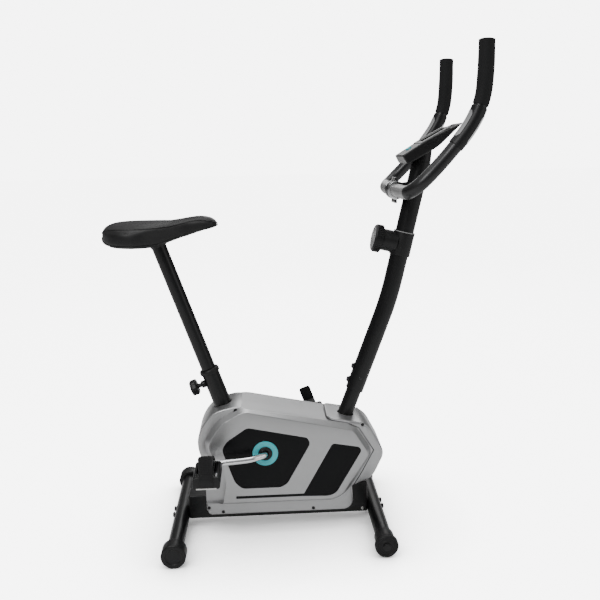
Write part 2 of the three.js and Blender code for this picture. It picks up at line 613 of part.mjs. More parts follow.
/** A flat ribbon along a curve that stays in a plane of constant X. */
function ribbonSolid(curve, thickness, width, steps) {
  const points = curve.getSpacedPoints(steps);
  const x = points[0].x;
  const rails = [[], []];
  points.forEach((point, i) => {
    const before = points[Math.max(0, i - 1)];
    const after = points[Math.min(steps, i + 1)];
    const along = after.clone().sub(before).normalize();
    const normal = at(0, -along.z, along.y).multiplyScalar(thickness / 2);
    rails[0].push(new THREE.Vector2(point.y + normal.y, point.z + normal.z));
    rails[1].push(new THREE.Vector2(point.y - normal.y, point.z - normal.z));
  });
  let outline = [...rails[0], ...rails[1].reverse()];
  if (THREE.ShapeUtils.area(outline) < 0) outline = outline.reverse();
  const geometry = new THREE.ExtrudeGeometry(new THREE.Shape(outline), { depth: width, bevelEnabled: false });
  // outline (y, z) stands in the Y-Z plane, depth runs along +X
  geometry.applyMatrix4(new THREE.Matrix4().makeBasis(at(0, 1, 0), at(0, 0, 1), at(1, 0, 0)));
  return geometry.translate(x - width / 2, 0, 0);
}

// ---- seat post, saddle, collar, pin
const postTop = seatLine.point(seatTubeLength + SEAT_POST.topAlong);

function seatPost() {
  const bottom = seatLine.point(seatTubeLength - SEAT_POST.insert);
  const tube = pipe(bottom, postTop, SEAT_POST.radius, SEAT_POST.radius - SEAT_POST.wall, 20);
  const first = seatTubeLength - PIN.below;
  const holes = [];
  for (let i = 0; i < SEAT_POST.holes; i += 1) {
    const centre = seatLine.point(first + (i - SEAT_POST.holesBelow) * SEAT_POST.pitch);
    holes.push(rod(centre, centre.clone().addScaledVector(seatLine.back, 30), SEAT_POST.holeRadius, 6));
  }
  return cut(tube, ...holes);
}

function seatCollar() {
  const radius = SEAT_TUBE.radius + COLLAR.brim;
  const end = seatLine.point(seatTubeLength + GAP);
  const top = seatLine.point(seatTubeLength + GAP + COLLAR.height);
  const bottom = seatLine.point(seatTubeLength - COLLAR.sleeve);
  const outer = join(
    rod(end, top, radius, 24, radius - 2),
    rod(bottom, seatLine.point(seatTubeLength + 2), SEAT_TUBE.radius - SEAT_TUBE.wall - GAP, 24),
  );
  const bore = rod(bottom.clone().addScaledVector(seatLine.along, -EPS),
    top.clone().addScaledVector(seatLine.along, EPS), SEAT_POST.radius + GAP, 24);
  return cut(outer, bore, rod(pinPoint(0), pinPoint(PIN.bossEnd), PIN.neck + GAP, 16));
}

function pinKnob() {
  const sides = PIN.lobes * 5;
  const profile = ringPoints(PIN.knobRadius, sides).map((point, i) => {
    const dip = 0.5 + 0.5 * Math.cos((i / sides) * 2 * Math.PI * PIN.lobes);
    return point.multiplyScalar(1 - PIN.lobeDepth * dip);
  });
  const knob = new THREE.ExtrudeGeometry(new THREE.Shape(profile), {
    depth: PIN.knobDepth - 2 * PIN.knobEdge, bevelEnabled: true, bevelSegments: 1,
    bevelThickness: PIN.knobEdge, bevelSize: PIN.knobEdge, bevelOffset: -PIN.knobEdge,
  });
  knob.translate(0, 0, PIN.knobEdge);
  knob.applyQuaternion(new THREE.Quaternion().setFromUnitVectors(at(0, 0, 1), seatLine.back));
  const start = pinPoint(PIN.knobStart);
  knob.translate(start.x, start.y, start.z);
  const shank = rod(pinPoint(SEAT_POST.radius + 2 * GAP), pinPoint(PIN.knobStart + EPS), PIN.neck, 16);
  return join(knob, shank);
}

/** Half the saddle's width, less a margin, at a share of its length from the rear (0) to the nose (1). */
function saddleHalf(t, margin = 0) {
  const rear = t < 0.3 ? Math.sqrt(Math.max(0, 1 - ((t - 0.3) / 0.3) ** 2)) : 1;
  const nose = t > 0.9 ? Math.sqrt(Math.max(0, 1 - ((t - 0.9) / 0.1) ** 2)) : 1;
  const narrowing = THREE.MathUtils.smoothstep(t, 0.3, 0.78);
  return (THREE.MathUtils.lerp(SADDLE.halfWidth, SADDLE.noseHalf, narrowing) - margin) * rear * nose;
}

/** Underside height of the saddle at X: level at the rear, rising to the nose. */
const saddleUnder = (x) => SADDLE.bottom + SADDLE.rise * Math.max(0, x - SADDLE.riseFrom);

/** Plan outline of the saddle, shrunk by a margin, as [x, y] points. */
function saddlePlan(margin) {
  const length = SADDLE.nose - SADDLE.rear;
  const steps = 22;
  const side = [];
  for (let i = 0; i <= steps; i += 1) {
    const t = 0.5 - 0.5 * Math.cos((Math.PI * i) / steps);
    const x = SADDLE.rear + margin + t * (length - 2 * margin);
    side.push([x, saddleHalf(t, margin)]);
  }
  const lower = side.map(([x, y]) => new THREE.Vector2(x, -y));
  const upper = side.slice(1, -1).reverse().map(([x, y]) => new THREE.Vector2(x, y));
  return [...lower, ...upper];
}

function saddlePadGeometry() {
  const length = SADDLE.nose - SADDLE.rear;
  const ball = new THREE.SphereGeometry(1, 20, 12);
  return sculpt(ball, (p) => {
    const t = THREE.MathUtils.clamp(0.5 + 0.5 * p.y, 0, 1);
    const around = Math.hypot(p.x, p.z);
    const part = (value) => (around > 1e-6 && Math.abs(value) > 1e-6 ? value / around : 0);
    const share = part(p.x);
    const lift = part(p.z);
    const x = SADDLE.rear + t * length;
    const squareShare = Math.sign(share) * Math.abs(share) ** 0.72;
    const y = -squareShare * saddleHalf(t);
    const under = saddleUnder(x);
    const crown = SADDLE.top + SADDLE.crown * THREE.MathUtils.smoothstep(t, 0.55, 0.88)
      - SADDLE.dishing * squareShare ** 2;
    const round = Math.sqrt(Math.max(0, 1 - (2 * t - 1) ** 8));
    const middle = under + (0.5 - 0.35 * THREE.MathUtils.smoothstep(t, 0.8, 1)) * (crown - under);
    const z = lift > 0
      ? middle + lift ** 0.62 * (crown - middle) * round
      : middle - Math.abs(lift) ** 0.3 * (middle - under) * round;
    p.set(x, y, z);
  });
}

function saddlePanShape(grow) {
  const plan = saddlePlan(SADDLE.panInset - grow);
  const deep = new THREE.ExtrudeGeometry(new THREE.Shape(plan), { depth: 60, bevelEnabled: false });
  deep.translate(0, 0, SADDLE.bottom - 4);
  const low = (x) => [x, saddleUnder(x) + 1.5 - grow];
  const high = (x) => [x, saddleUnder(x) + SADDLE.panDepth + grow];
  const [rear, front] = [SADDLE.rear - 50, SADDLE.nose + 40];
  const under = [low(rear), low(SADDLE.riseFrom), low(front), high(front), high(SADDLE.riseFrom), high(rear)];
  return toSolid(deep).intersect(toSolid(slab(under, -150, 150)));
}

function saddlePieces() {
  const top = seatTubeLength + SEAT_POST.topAlong;
  const socketStart = seatLine.point(top - SADDLE.socketDepth);
  const socket = rod(socketStart, seatLine.point(top + 8), SADDLE.socket, 20, SADDLE.socket + 2);
  const bore = rod(socketStart.clone().addScaledVector(seatLine.along, -EPS),
    seatLine.point(top + GAP), SEAT_POST.radius + GAP, 24);
  const pan = cut(saddlePanShape(0).add(toSolid(socket)), bore);
  const roomSocket = rod(socketStart, seatLine.point(top + 8 + GAP), SADDLE.socket + 2 * GAP, 20,
    SADDLE.socket + 2 + 2 * GAP);
  const room = saddlePanShape(GAP).add(toSolid(roomSocket));
  const skirtRoom = saddlePanShape(GAP).translate([0, 0, -6]);
  const pad = toSolid(saddlePadGeometry()).subtract(room).subtract(skirtRoom);
  return { pan, pad };
}

// ---- mast, tension control, bar, console
/** The mast's axis above the lap joint: straight, one bend, then straight at the upper tilt. */
function mastCurve() {
  const corner = mastLine.point(MAST.bendAlong);
  const upper = at(Math.sin(rad(MAST.topTilt)), 0, Math.cos(rad(MAST.topTilt)));
  const bendStart = mastLine.point(MAST.bendAlong - MAST.bendReach);
  const bendEnd = corner.clone().addScaledVector(upper, MAST.bendReach);
  const curve = new THREE.CurvePath();
  curve.add(new THREE.LineCurve3(mastLine.point(MAST.lapEnd), bendStart));
  curve.add(new THREE.QuadraticBezierCurve3(bendStart, corner, bendEnd));
  curve.add(new THREE.LineCurve3(bendEnd, corner.clone().addScaledVector(upper, MAST.topLength)));
  return curve;
}

/** The point and direction of the mast's axis where it reaches a height. */
function mastAt(height) {
  const curve = mastCurve();
  let [low, high] = [0, 1];
  for (let i = 0; i < 40; i += 1) {
    const middle = (low + high) / 2;
    if (curve.getPoint(middle).z < height) low = middle;
    else high = middle;
  }
  const point = curve.getPoint(low);
  const along = curve.getTangent(low);
  return { point, along, back: at(-along.z, 0, along.x) };
}

function mastPost() {
  const top = mastCurve();
  const line = (before, after) => {
    const path = new THREE.CurvePath();
    path.add(new THREE.LineCurve3(mastLine.point(MAST.jointAlong - before), mastLine.point(MAST.lapEnd)));
    top.curves.forEach((part) => path.add(part));
    if (after > 0) {
      const end = top.getPoint(1);
      path.add(new THREE.LineCurve3(end, end.clone().addScaledVector(top.getTangent(1), after)));
    }
    return path;
  };
  const outer = toSolid(sweep(line(0, 0), ringPoints(MAST.radius, 20), 14));
  const bore = sweep(line(4, 4), ringPoints(MAST.radius - MAST.wall, 14), 14);
  const clampSeat = toSolid(rodY(BAR.x, BAR.z, -CLAMP.width / 2, CLAMP.width / 2, CLAMP.radius, 20));
  const neck = mastAt(BAR.z);
  const root = neck.point.clone().addScaledVector(neck.back, MAST.radius - 5);
  const bridge = rod(root, at(BAR.x, 0, BAR.z), CLAMP.bridge, 20);
  const room = (x0, x1) => block(BAR.x + x0, BAR.x + x1, -60, 60, BAR.z - 60, BAR.z + 60);
  const seat = cut(clampSeat.intersect(toSolid(room(CLAMP.split, 60))).add(toSolid(bridge)),
    rodY(BAR.x, BAR.z, -60, 60, BAR.radius + GAP, 24), room(-60, CLAMP.split));
  const cablePort = mastAt(TENSION.height);
  const port = rod(cablePort.point, cablePort.point.clone().addScaledVector(cablePort.back, 32), 5, 12);
  return cut(outer.add(seat), bore, port, ...MAST_BOLT.alongs.map((along) => mastBolt(along).hole));
}

function barClamp() {
  const splitX = BAR.x + CLAMP.split - GAP;
  const half = CLAMP.width / 2;
  const band = cut(toSolid(rodY(BAR.x, BAR.z, -half, half, CLAMP.radius, 20)),
    rodY(BAR.x, BAR.z, -60, 60, BAR.radius + GAP, 24),
    block(splitX, BAR.x + 60, -60, 60, BAR.z - 60, BAR.z + 60));
  const lugs = [-1, 1].map((end) => {
    const z0 = BAR.z + end * (CLAMP.radius - 1);
    const z1 = BAR.z + end * (CLAMP.radius + CLAMP.lug);
    return block(BAR.x - 5, splitX, -half, half, Math.min(z0, z1), Math.max(z0, z1));
  });
  return lugs.reduce((sum, lug) => sum.add(toSolid(lug)), band);
}

function tensionHousing() {
  const { point, along, back } = mastAt(TENSION.height);
  const half = TENSION.sleeveLength / 2;
  const on = (distance) => point.clone().addScaledVector(back, distance);
  const from = point.clone().addScaledVector(along, -half);
  const to = point.clone().addScaledVector(along, half);
  return cut(
    join(rod(from, to, TENSION.sleeveRadius, 24),
      rod(on(TENSION.neckStart), on(TENSION.dialStart - GAP), TENSION.neckRadius, 24)),
    rod(point.clone().addScaledVector(along, -half - EPS), point.clone().addScaledVector(along, half + EPS),
      MAST.radius + 2 * GAP, 24),
    rod(on(0), on(TENSION.dialStart + EPS), TENSION.spigot + GAP, 16),
  );
}

function tensionDial() {
  const { point, back } = mastAt(TENSION.height);
  const on = (distance) => point.clone().addScaledVector(back, distance);
  const { dialStart: start, dialDepth: depth, dialRadius: radius } = TENSION;
  return join(
    rod(on(start), on(start + depth - 3), radius, 28),
    rod(on(start + depth - 3.01), on(start + depth), radius, 28, radius - 2.5),
    rod(on(MAST.radius + 3), on(start + EPS), TENSION.spigot, 16),
  );
}

function barCurve() {
  const half = (sign) => [
    [0.3, 0, 0], [0.69, 0, 0], [0.91, 0.035, 0.013], [1, 0.15, 0.062], [1, 0.52, 0.255],
    [1, 0.83, 0.46], [1, 0.96, 0.62], [1, 0.995, 0.79], [1, 1, 1],
  ].map(([out, forward, up]) => at(
    BAR.x + forward * (BAR.topX - BAR.x), sign * out * BAR.half, BAR.z + up * (BAR.topZ - BAR.z)));
  return new THREE.CatmullRomCurve3([...half(RIGHT).reverse(), ...half(LEFT)], false, 'centripetal');
}

/** Part of a curve, from one share of its length to another, on one side of its middle. */
class CurvePart extends THREE.Curve {
  constructor(curve, from, to) {
    super();
    this.curve = curve;
    this.from = from;
    this.to = to;
  }

  getPoint(t, target = new THREE.Vector3()) {
    return target.copy(this.curve.getPointAt(this.from + (this.to - this.from) * t));
  }
}

/** The share of the whole bar's length at a share of one arm, from its middle (0) to its tip (1). */
const barShare = (sign, share) => 0.5 + sign * 0.5 * share;

/** The bar from tip to tip as a solid rod; what slips over the bar is bored with a wider one. */
function barRod(radius) {
  const whole = new CurvePart(barCurve(), BAR.tipGap, 1 - BAR.tipGap);
  return sweep(whole, ringPoints(radius, BAR.sides), BAR.steps);
}

function handlebar() {
  const curve = barCurve();
  const outer = toSolid(barRod(BAR.radius));
  const hollow = new CurvePart(curve, 2 * BAR.tipGap, 1 - 2 * BAR.tipGap);
  const bore = sweep(hollow, ringPoints(BAR.radius - BAR.wall, 6), 28);
  const ends = [0, 1].map((t) => {
    const tip = curve.getPointAt(t);
    const way = curve.getTangentAt(t).multiplyScalar(t === 0 ? -1 : 1);
    return rod(tip.clone().addScaledVector(way, -30), tip, BAR.radius - 5, 8);
  });
  return cut(outer, bore, ...ends);
}

function sleeve(sign, start, end, radius, steps) {
  const part = new CurvePart(barCurve(), barShare(sign, start), barShare(sign, end));
  return cut(toSolid(sweep(part, ringPoints(radius, 14), steps)), barRod(BAR.radius + 3 * GAP));
}

/** The console's frame: an origin at its lower rear edge, with its own along and up directions. */
function consoleFrame() {
  const along = at(Math.cos(rad(CONSOLE.pitch)), 0, Math.sin(rad(CONSOLE.pitch)));
  const up = at(-along.z, 0, along.x);
  const origin = at(CONSOLE.backX, 0, CONSOLE.backZ);
  const point = (u, v) => origin.clone().addScaledVector(along, u).addScaledVector(up, v);
  return { along, up, point };
}

function consolePieces() {
  const { along, up, point } = consoleFrame();
  const { length, thickness, halfWidth, screenWall, button, travel } = CONSOLE;
  const pair = (u, v, radius = 0) => { const p = point(u, v); return [p.x, p.z, radius]; };
  const side = rounded([
    pair(0, 0, 3), pair(2, -thickness, 5), pair(length * 0.52, -thickness * 0.98, 14), pair(length, -3, 3),
    pair(length * 0.5, 4, 30),
  ]);
  const body = toSolid(slab(side, -halfWidth, halfWidth));
  const turned = (geometry) => geometry.applyMatrix4(new THREE.Matrix4().makeBasis(along, at(0, 1, 0), up))
    .translate(CONSOLE.backX, 0, CONSOLE.backZ);
  const box = (u0, u1, y0, y1, v0, v1) => turned(block(u0, u1, y0, y1, v0, v1));
  const screen = box(length * 0.36, length * 0.78, -38, 38, -2.4, screenWall - 3);
  const window = box(length * 0.36 - GAP, length * 0.78 + GAP, -38 - GAP, 38 + GAP, -2.4 - GAP, 20);
  const buttonPoint = (v) => point(length * 0.18, v);
  const key = rod(buttonPoint(-6), buttonPoint(4.5), button, 24);
  const keyHole = rod(buttonPoint(-6 - travel - GAP), buttonPoint(20), button + GAP, 24);
  return { body: cut(body, window, keyHole), screen, key };
}

function consoleBracket() {
  const { point } = consoleFrame();
  const mast = mastCurve();
  const above = (distance) => mast.getPoint(1).addScaledVector(mast.getTangent(1), distance);
  const plug = rod(above(-26), above(GAP + 2), MAST.radius - MAST.wall - 4 * GAP, 20);
  const head = rod(above(GAP), above(40), MAST.radius, 20, 17);
  const low = point(0, -CONSOLE.thickness - GAP);
  const high = point(CONSOLE.length, -CONSOLE.thickness - GAP);
  const drop = 40 * Math.tan(rad(CONSOLE.pitch));
  const overhead = slab([[low.x - 40, low.z - drop], [high.x, high.z], [high.x, high.z + 200],
    [low.x - 40, high.z + 200]], -80, 80);
  return cut(join(plug, head), overhead);
}

// ---- casing shells, cover, insets, rings
const casingOutline = () => [
  [-142, CASING.floor, 14], [200, CASING.floor, 12], [216, 62, 12], [213, 109, 4], [262, 130, 20],
  [292, 194, 18], [260, 254, 24], [240, casingTop(240), 22], [CASING.seatX, CASING.topZ, 14],
  [-121, 316, 30], [-150, 284, 30], [-165, 246, 24], [-162, 212, 24], [-150, 184, 16], [-150, 60, 12],
];
const faceOutline = () => [
  [-112, 86, 8], [166, 86, 26], [190, 100, 14], [253, 200, 22], [214, 262, 22], [-50, 319, 22],
  [-108, 287, 30], [-137, 240, 20], [-134, 214, 16], [-106, 176, 16], [-101, 134, 20], [-107, 106, 8],
];
const heelOutline = () => [
  [-170, 78], [-108, 78], [-103, 106], [-97, 134], [-102, 176], [-131, 214], [-148, 190], [-170, 184],
];
const seamOutline = () => [
  [150, 330], [150, casingTop(150) - 2], [206, casingTop(206) - 2], [230, 261], [266, 202], [232, 138],
  [214, 110], [214, 90], [330, 90], [330, 330],
];

/** The casing's volume: a flat-sided base with a raised, bevelled panel on each side. */
function casingVolume(wall) {
  const half = CASING.half - wall;
  const outline = inset(casingOutline(), wall);
  const face = rounded(inset(faceOutline(), wall));
  const raised = new THREE.ExtrudeGeometry(face, {
    depth: 2 * half, curveSegments: 3, bevelEnabled: true, bevelSegments: 1,
    bevelThickness: CASING.face - CASING.half, bevelSize: CASING.bevel,
  });
  raised.rotateX(Math.PI / 2).translate(0, half, 0);
  const wide = toSolid(slab(rounded(outline), -CASING.face - EPS, CASING.face + EPS));
  const base = toSolid(slab(rounded(outline), -half, half));
  const heels = [RIGHT, LEFT].map(
    (sign) => slab(inset(heelOutline(), -wall), ...spanY(sign, CASING.heelY - wall, CASING.face + 2)));
  return cut(base.add(toSolid(raised).intersect(wide)), ...heels);
}

/** Everything that passes through the casing's walls, with its clearance. */
function casingPassages() {
  const slot = BEAM.width / 2 + GAP;
  return [
    rod(seatLine.point(40), seatLine.point(seatTubeLength), SEAT_TUBE.radius + CASING.passage, 24),
    rod(mastLine.point(40), mastLine.point(MAST.jointAlong), MAST.stubRadius + CASING.passage, 24),
    block(-400, 400, -slot, slot, 0, beamTop + GAP),
    block(-400, BLOCK.rearEnd + GAP, -slot, slot, 0, BEAM.rearTop + GAP),
    block(BLOCK.frontStart - GAP, 400, -slot, slot, 0, BEAM.frontTop + GAP),
    rodY(0, CRANK.height, -90, 90, RING.inner + EPS, 20),
  ];
}

const rearInsetOutline = () => [
  [-58, 122, 8], [36, 122, 8], [52, 131, 8], [110, 233, 10], [103, 248, 6], [-42, 279, 8], [-94, 244, 10],
  [-105, 224, 10], [-76, 138, 10],
];
const frontInsetOutline = () => [
  [-75, 96, 2], [89, 96, 0], [154, 94, 10], [172, 101, 10], [235, 209, 7], [230, 219, 6], [164, 231, 8],
  [92, 103, 2], [-75, 103, 2],
];

function casingPieces() {
  const shell = cut(casingVolume(0).subtract(casingVolume(CASING.wall)),
    slab(seamOutline(), -90, 90), ...casingPassages());
  const floorInset = CASING.face - INSET_DEPTH;
  for (const sign of [RIGHT, LEFT]) {
    const pockets = [rearInsetOutline(), frontInsetOutline()].map(
      (outline) => slab(rounded(outline), ...spanY(sign, floorInset, CASING.face + EPS)));
    const halfSpace = block(-400, 400, ...spanY(sign, GAP / 2, 120), -10, 420);
    add(`shell_${sideName(sign)}`, cut(shell.intersect(toSolid(halfSpace)), ...pockets), 'silver');
    const plate = (outline) => toSolid(
      slab(rounded(inset(outline, GAP)), ...spanY(sign, floorInset + GAP, CASING.face - GAP)));
    const depth = spanY(sign, floorInset - EPS, CASING.face + EPS);
    const hubHole = rodY(0, CRANK.height, ...depth, RING.outer + GAP, 32);
    add(`inset_rear_${sideName(sign)}`, cut(plate(rearInsetOutline()), hubHole), 'inset');
    add(`inset_front_${sideName(sign)}`, plate(frontInsetOutline()), 'inset');
    const ring = toSolid(rodY(0, CRANK.height,
      ...spanY(sign, floorInset + GAP, CASING.face + RING.depth), RING.outer, 32));
    add(`hub_ring_${sideName(sign)}`, cut(ring, rodY(0, CRANK.height, -90, 90, RING.inner, 20)), 'accent');
  }
}

function frontCover() {
  const outline = [
    [COVER.tongueX, casingTop(COVER.tongueX) - 20, 0], [210, 108, 0], [264, 129, 20], [295, 194, 18],
    [262, 257, 24], [242, casingTop(242) + COVER.rise, 20],
    [COVER.tongueX, casingTop(COVER.tongueX) + COVER.rise, 5],
  ];
  const body = toSolid(slab(rounded(outline), -CASING.half, CASING.half));
  const zone = slab(inset(seamOutline(), GAP), -90, 90);
  const halfCavity = CASING.half - CASING.wall;
  const cavity = slab(rounded(inset(casingOutline(), CASING.wall)), -halfCavity, halfCavity);
  return cut(body.intersect(toSolid(zone)), cavity, ...casingPassages());
}

// ---------------------------------------------------------------- assembly
add('frame_beam', frameBeam(), 'frame');
add('frame_seat_tube', seatTube(), 'frame');
add('frame_mast_stub', mastStub(), 'frame');
add('frame_hub_shell', hubShell(), 'frame');
add('frame_flywheel_bracket', flywheelBracket(), 'frame');
add('stabilizer_rear', stabilizerTube(STABILIZER.rearX, 'rear'), 'frame');
add('stabilizer_front', stabilizerTube(STABILIZER.frontX, 'front'), 'frame');
for (const bolt of stabilizerBolts()) add(bolt.name, bolt.solid, 'steel');
for (const sign of [RIGHT, LEFT]) {
  add(`cap_rear_${sideName(sign)}`, rearCap(sign), 'plastic');
  add(`cap_front_${sideName(sign)}`, frontCap(sign), 'plastic');
  add(`roller_${sideName(sign)}`, roller(sign), 'rubber');
}
casingPieces();
add('front_cover', frontCover(), 'silver');
add('crank', crank(), 'chrome');
add('drive_pulley', drivePulley(), 'plastic');
add('belt', belt(), 'rubber');
add('flywheel', flywheel(), 'steel');
add('idler_pulley', idlerPulley(), 'plastic');
add('magnet_bracket', magnetBracket(), 'steel');
for (const sign of [RIGHT, LEFT]) {
  const { body, spindle, strap } = pedalPieces(sign);
  const { x, z } = crankEnd(sign);
  const turn = sign === LEFT ? -PEDAL.leftTurn : 0;
  add(`pedal_${sideName(sign)}`, turnedAboutY(body, x, z, turn), 'plastic');
  add(`pedal_spindle_${sideName(sign)}`, spindle, 'steel');
  add(`pedal_strap_${sideName(sign)}`, turnedAboutY(strap, x, z, turn), 'rubber');
}
add('seat_post', seatPost(), 'frame');
add('seat_collar', seatCollar(), 'plastic');
add('pin_knob', pinKnob(), 'plastic');
const saddle = saddlePieces();
add('saddle_pan', saddle.pan, 'plastic');
add('saddle_pad', saddle.pad, 'vinyl');
add('mast_post', mastPost(), 'frame');
MAST_BOLT.alongs.forEach((along, i) => add(`mast_bolt_${i + 1}`, mastBolt(along).solid, 'steel'));
add('tension_housing', tensionHousing(), 'plastic');
add('tension_dial', tensionDial(), 'plastic');
add('handlebar', handlebar(), 'bar');
add('bar_clamp', barClamp(), 'chrome');
for (const sign of [RIGHT, LEFT]) {
  const sensor = sleeve(sign, SENSOR.start, SENSOR.end, SENSOR.radius, 4);
  add(`pulse_sensor_${sideName(sign)}`, sensor, 'plastic');
  add(`grip_${sideName(sign)}`, sleeve(sign, GRIP.start, 1, GRIP.radius, 7), 'foam');
}
const consoleSet = consolePieces();
add('console_housing', consoleSet.body, 'plastic');
add('console_screen', consoleSet.screen, 'glass');
add('console_button', consoleSet.key, 'accent');
add('console_bracket', consoleBracket(), 'plastic');

// The origin is the middle of the bike's footprint, on the floor.
const bounds = new THREE.Box3().setFromObject(bike, true);
const middle = bounds.getCenter(new THREE.Vector3());
bike.position.set(-middle.x, -middle.y, -bounds.min.z);

export default bike;
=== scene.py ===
"""Upright home exercise bike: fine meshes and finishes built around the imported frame."""
from __future__ import annotations

import json
import logging
import math
from dataclasses import dataclass, field
from enum import Enum
from typing import Callable, Iterable, Sequence

import bmesh
import bpy
from mathutils import Matrix, Vector

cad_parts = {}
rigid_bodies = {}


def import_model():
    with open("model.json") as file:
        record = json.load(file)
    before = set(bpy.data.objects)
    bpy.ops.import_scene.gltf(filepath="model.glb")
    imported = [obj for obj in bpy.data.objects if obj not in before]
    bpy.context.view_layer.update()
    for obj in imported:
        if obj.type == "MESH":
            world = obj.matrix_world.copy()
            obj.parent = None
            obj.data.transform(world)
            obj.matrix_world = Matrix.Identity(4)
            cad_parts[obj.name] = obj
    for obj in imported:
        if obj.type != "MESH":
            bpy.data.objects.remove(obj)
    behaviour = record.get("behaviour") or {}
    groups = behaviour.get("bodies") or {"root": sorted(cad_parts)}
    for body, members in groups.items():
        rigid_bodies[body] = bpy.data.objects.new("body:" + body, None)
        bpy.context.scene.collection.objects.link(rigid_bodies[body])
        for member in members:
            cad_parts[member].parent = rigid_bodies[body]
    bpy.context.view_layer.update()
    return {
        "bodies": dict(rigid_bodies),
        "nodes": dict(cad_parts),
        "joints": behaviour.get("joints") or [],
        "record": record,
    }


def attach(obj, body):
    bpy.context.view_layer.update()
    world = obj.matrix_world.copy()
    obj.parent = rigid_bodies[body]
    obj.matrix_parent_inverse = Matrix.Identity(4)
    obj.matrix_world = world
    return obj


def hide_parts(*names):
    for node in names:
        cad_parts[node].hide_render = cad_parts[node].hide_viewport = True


LOG = logging.getLogger("bike")
MM = 0.001     # one millimetre, in metres
GAP = 0.3      # clearance between two pieces, in millimetres
SHARP = 32.0   # edges over this angle stay sharp on cut pieces, in degrees
FAR = 400.0    # reach of the long cutting boxes, in millimetres
Thing = bpy.types.Object
Socket = bpy.types.NodeSocket
Tree = bpy.types.NodeTree
Pair = tuple[float, float]
Triple = tuple[float, float, float]
Radius = float | Callable[[float], float]
Corners = Sequence[Sequence[float]]
Spot = tuple[Vector, Vector, Vector]


class Side(Enum):
    """The rider's two sides, as the sign of Y."""

    RIGHT = -1
    LEFT = 1

    @property
    def word(self) -> str:
        """The side's name as the frame's nodes spell it."""
        return self.name.lower()

    @property
    def out(self) -> Vector:
        """The direction away from the mid-plane."""
        return Vector((0, self.value, 0))


class Slot(Enum):
    """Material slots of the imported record."""

    FRAME = "frame_paint"
    CASING = "casing_silver"
    INSET = "inset_dark"
    ACCENT = "accent_turquoise"
    CHROME = "chrome"
    STEEL = "steel"
    RUBBER = "rubber_black"
    FOAM = "foam_black"
    BAR = "bar_paint"
    VINYL = "saddle_vinyl"
    PLASTIC = "plastic_black"
    SCREEN = "screen_glass"


# ---------------------------------------------------------------- node trees and finishes
class Graph:
    """Adds nodes to a tree, each with its values and links in one call."""

    def __init__(self, tree: Tree) -> None:
        """Takes the tree that is to grow."""
        self.tree = tree

    @classmethod
    def group(cls, name: str, kind: str, inputs: dict[str, str], outputs: dict[str, str]) -> Graph:
        """Makes an empty node group.

        Args:
            name: the group's name.
            kind: the tree's type.
            inputs: the inputs' names and socket types, without their common first word.
            outputs: the same for the outputs.

        Returns:
            The graph of the new group.
        """
        tree = bpy.data.node_groups.new(name, kind)
        for way, sockets in (("INPUT", inputs), ("OUTPUT", outputs)):
            for label, family in sockets.items():
                tree.interface.new_socket(label, in_out=way, socket_type=f"NodeSocket{family}")
        return cls(tree)

    def feed(self, node: bpy.types.Node, inputs: dict[str | int, object]) -> bpy.types.Node:
        """Links or sets a node's inputs: a socket is linked, any other value is set."""
        for key, value in inputs.items():
            if isinstance(value, Socket):
                self.tree.links.new(value, node.inputs[key])
            else:
                node.inputs[key].default_value = value
        return node

    def add(self, kind: str, inputs: dict[str | int, object] | None = None,
            output: str | int = 0, **settings: object) -> Socket | None:
        """Adds a node.

        Args:
            kind: the node's type.
            inputs: its linked or set inputs.
            output: the output that is wanted.
            settings: the node's own properties, set first.

        Returns:
            The wanted output, or None for a node without outputs.
        """
        node = self.tree.nodes.new(kind)
        for key, value in settings.items():
            setattr(node, key, value)
        self.feed(node, inputs or {})
        return node.outputs[output] if node.outputs else None

    def entry(self) -> bpy.types.NodeOutputs:
        """The group's inputs, as sockets to link from."""
        return self.tree.nodes.new("NodeGroupInput").outputs

    def math(self, operation: str, first: Socket, second: Socket | float = 0.0,
             **settings: object) -> Socket:
        """One sum, product or other operation of two values."""
        return self.add("ShaderNodeMath", {0: first, 1: second}, operation=operation, **settings)

    def span(self, value: Socket, **ends: float) -> Socket:
        """Maps a value from one range to another, its ends given as from_min, to_max and so on."""
        named = {key.replace("_", " ").title(): end for key, end in ends.items()}
        return self.add("ShaderNodeMapRange", {"Value": value, **named}, "Result")

    def blend(self, share: Socket, low: Socket | Triple, high: Triple) -> Socket:
        """A mix of two colours."""
        start = low if isinstance(low, Socket) else (*low, 1)
        return self.add("ShaderNodeMix", {0: share, 6: start, 7: (*high, 1)}, 2, data_type="RGBA")

    def coordinate(self, place: Socket, axis: str) -> Socket:
        """One coordinate of a place or a direction."""
        return self.add("ShaderNodeSeparateXYZ", {0: place}, axis)


def grain_group() -> Tree:
    """A moulded or painted surface: fine height, and a slow change of tone."""
    graph = Graph.group("surface_grain", "ShaderNodeTree",
                        {"Vector": "Vector", "Scale": "Float", "Pebble": "Float"},
                        {"Height": "Float", "Tone": "Float"})
    entry = graph.entry()
    where = {"Vector": entry["Vector"]}
    fine = graph.add("ShaderNodeTexNoise", {**where, "Scale": entry["Scale"], "Detail": 4}, "Fac")
    pebble = graph.add("ShaderNodeTexVoronoi", {**where, "Scale": entry["Scale"]}, "Distance",
                       feature="SMOOTH_F1")
    slow = graph.add("ShaderNodeTexNoise", {**where, "Scale": 9, "Detail": 5}, "Fac")
    height = graph.add("ShaderNodeMix", {0: entry["Pebble"], 2: fine, 3: pebble})
    graph.add("NodeGroupOutput", {"Height": height, "Tone": slow})
    return graph.tree


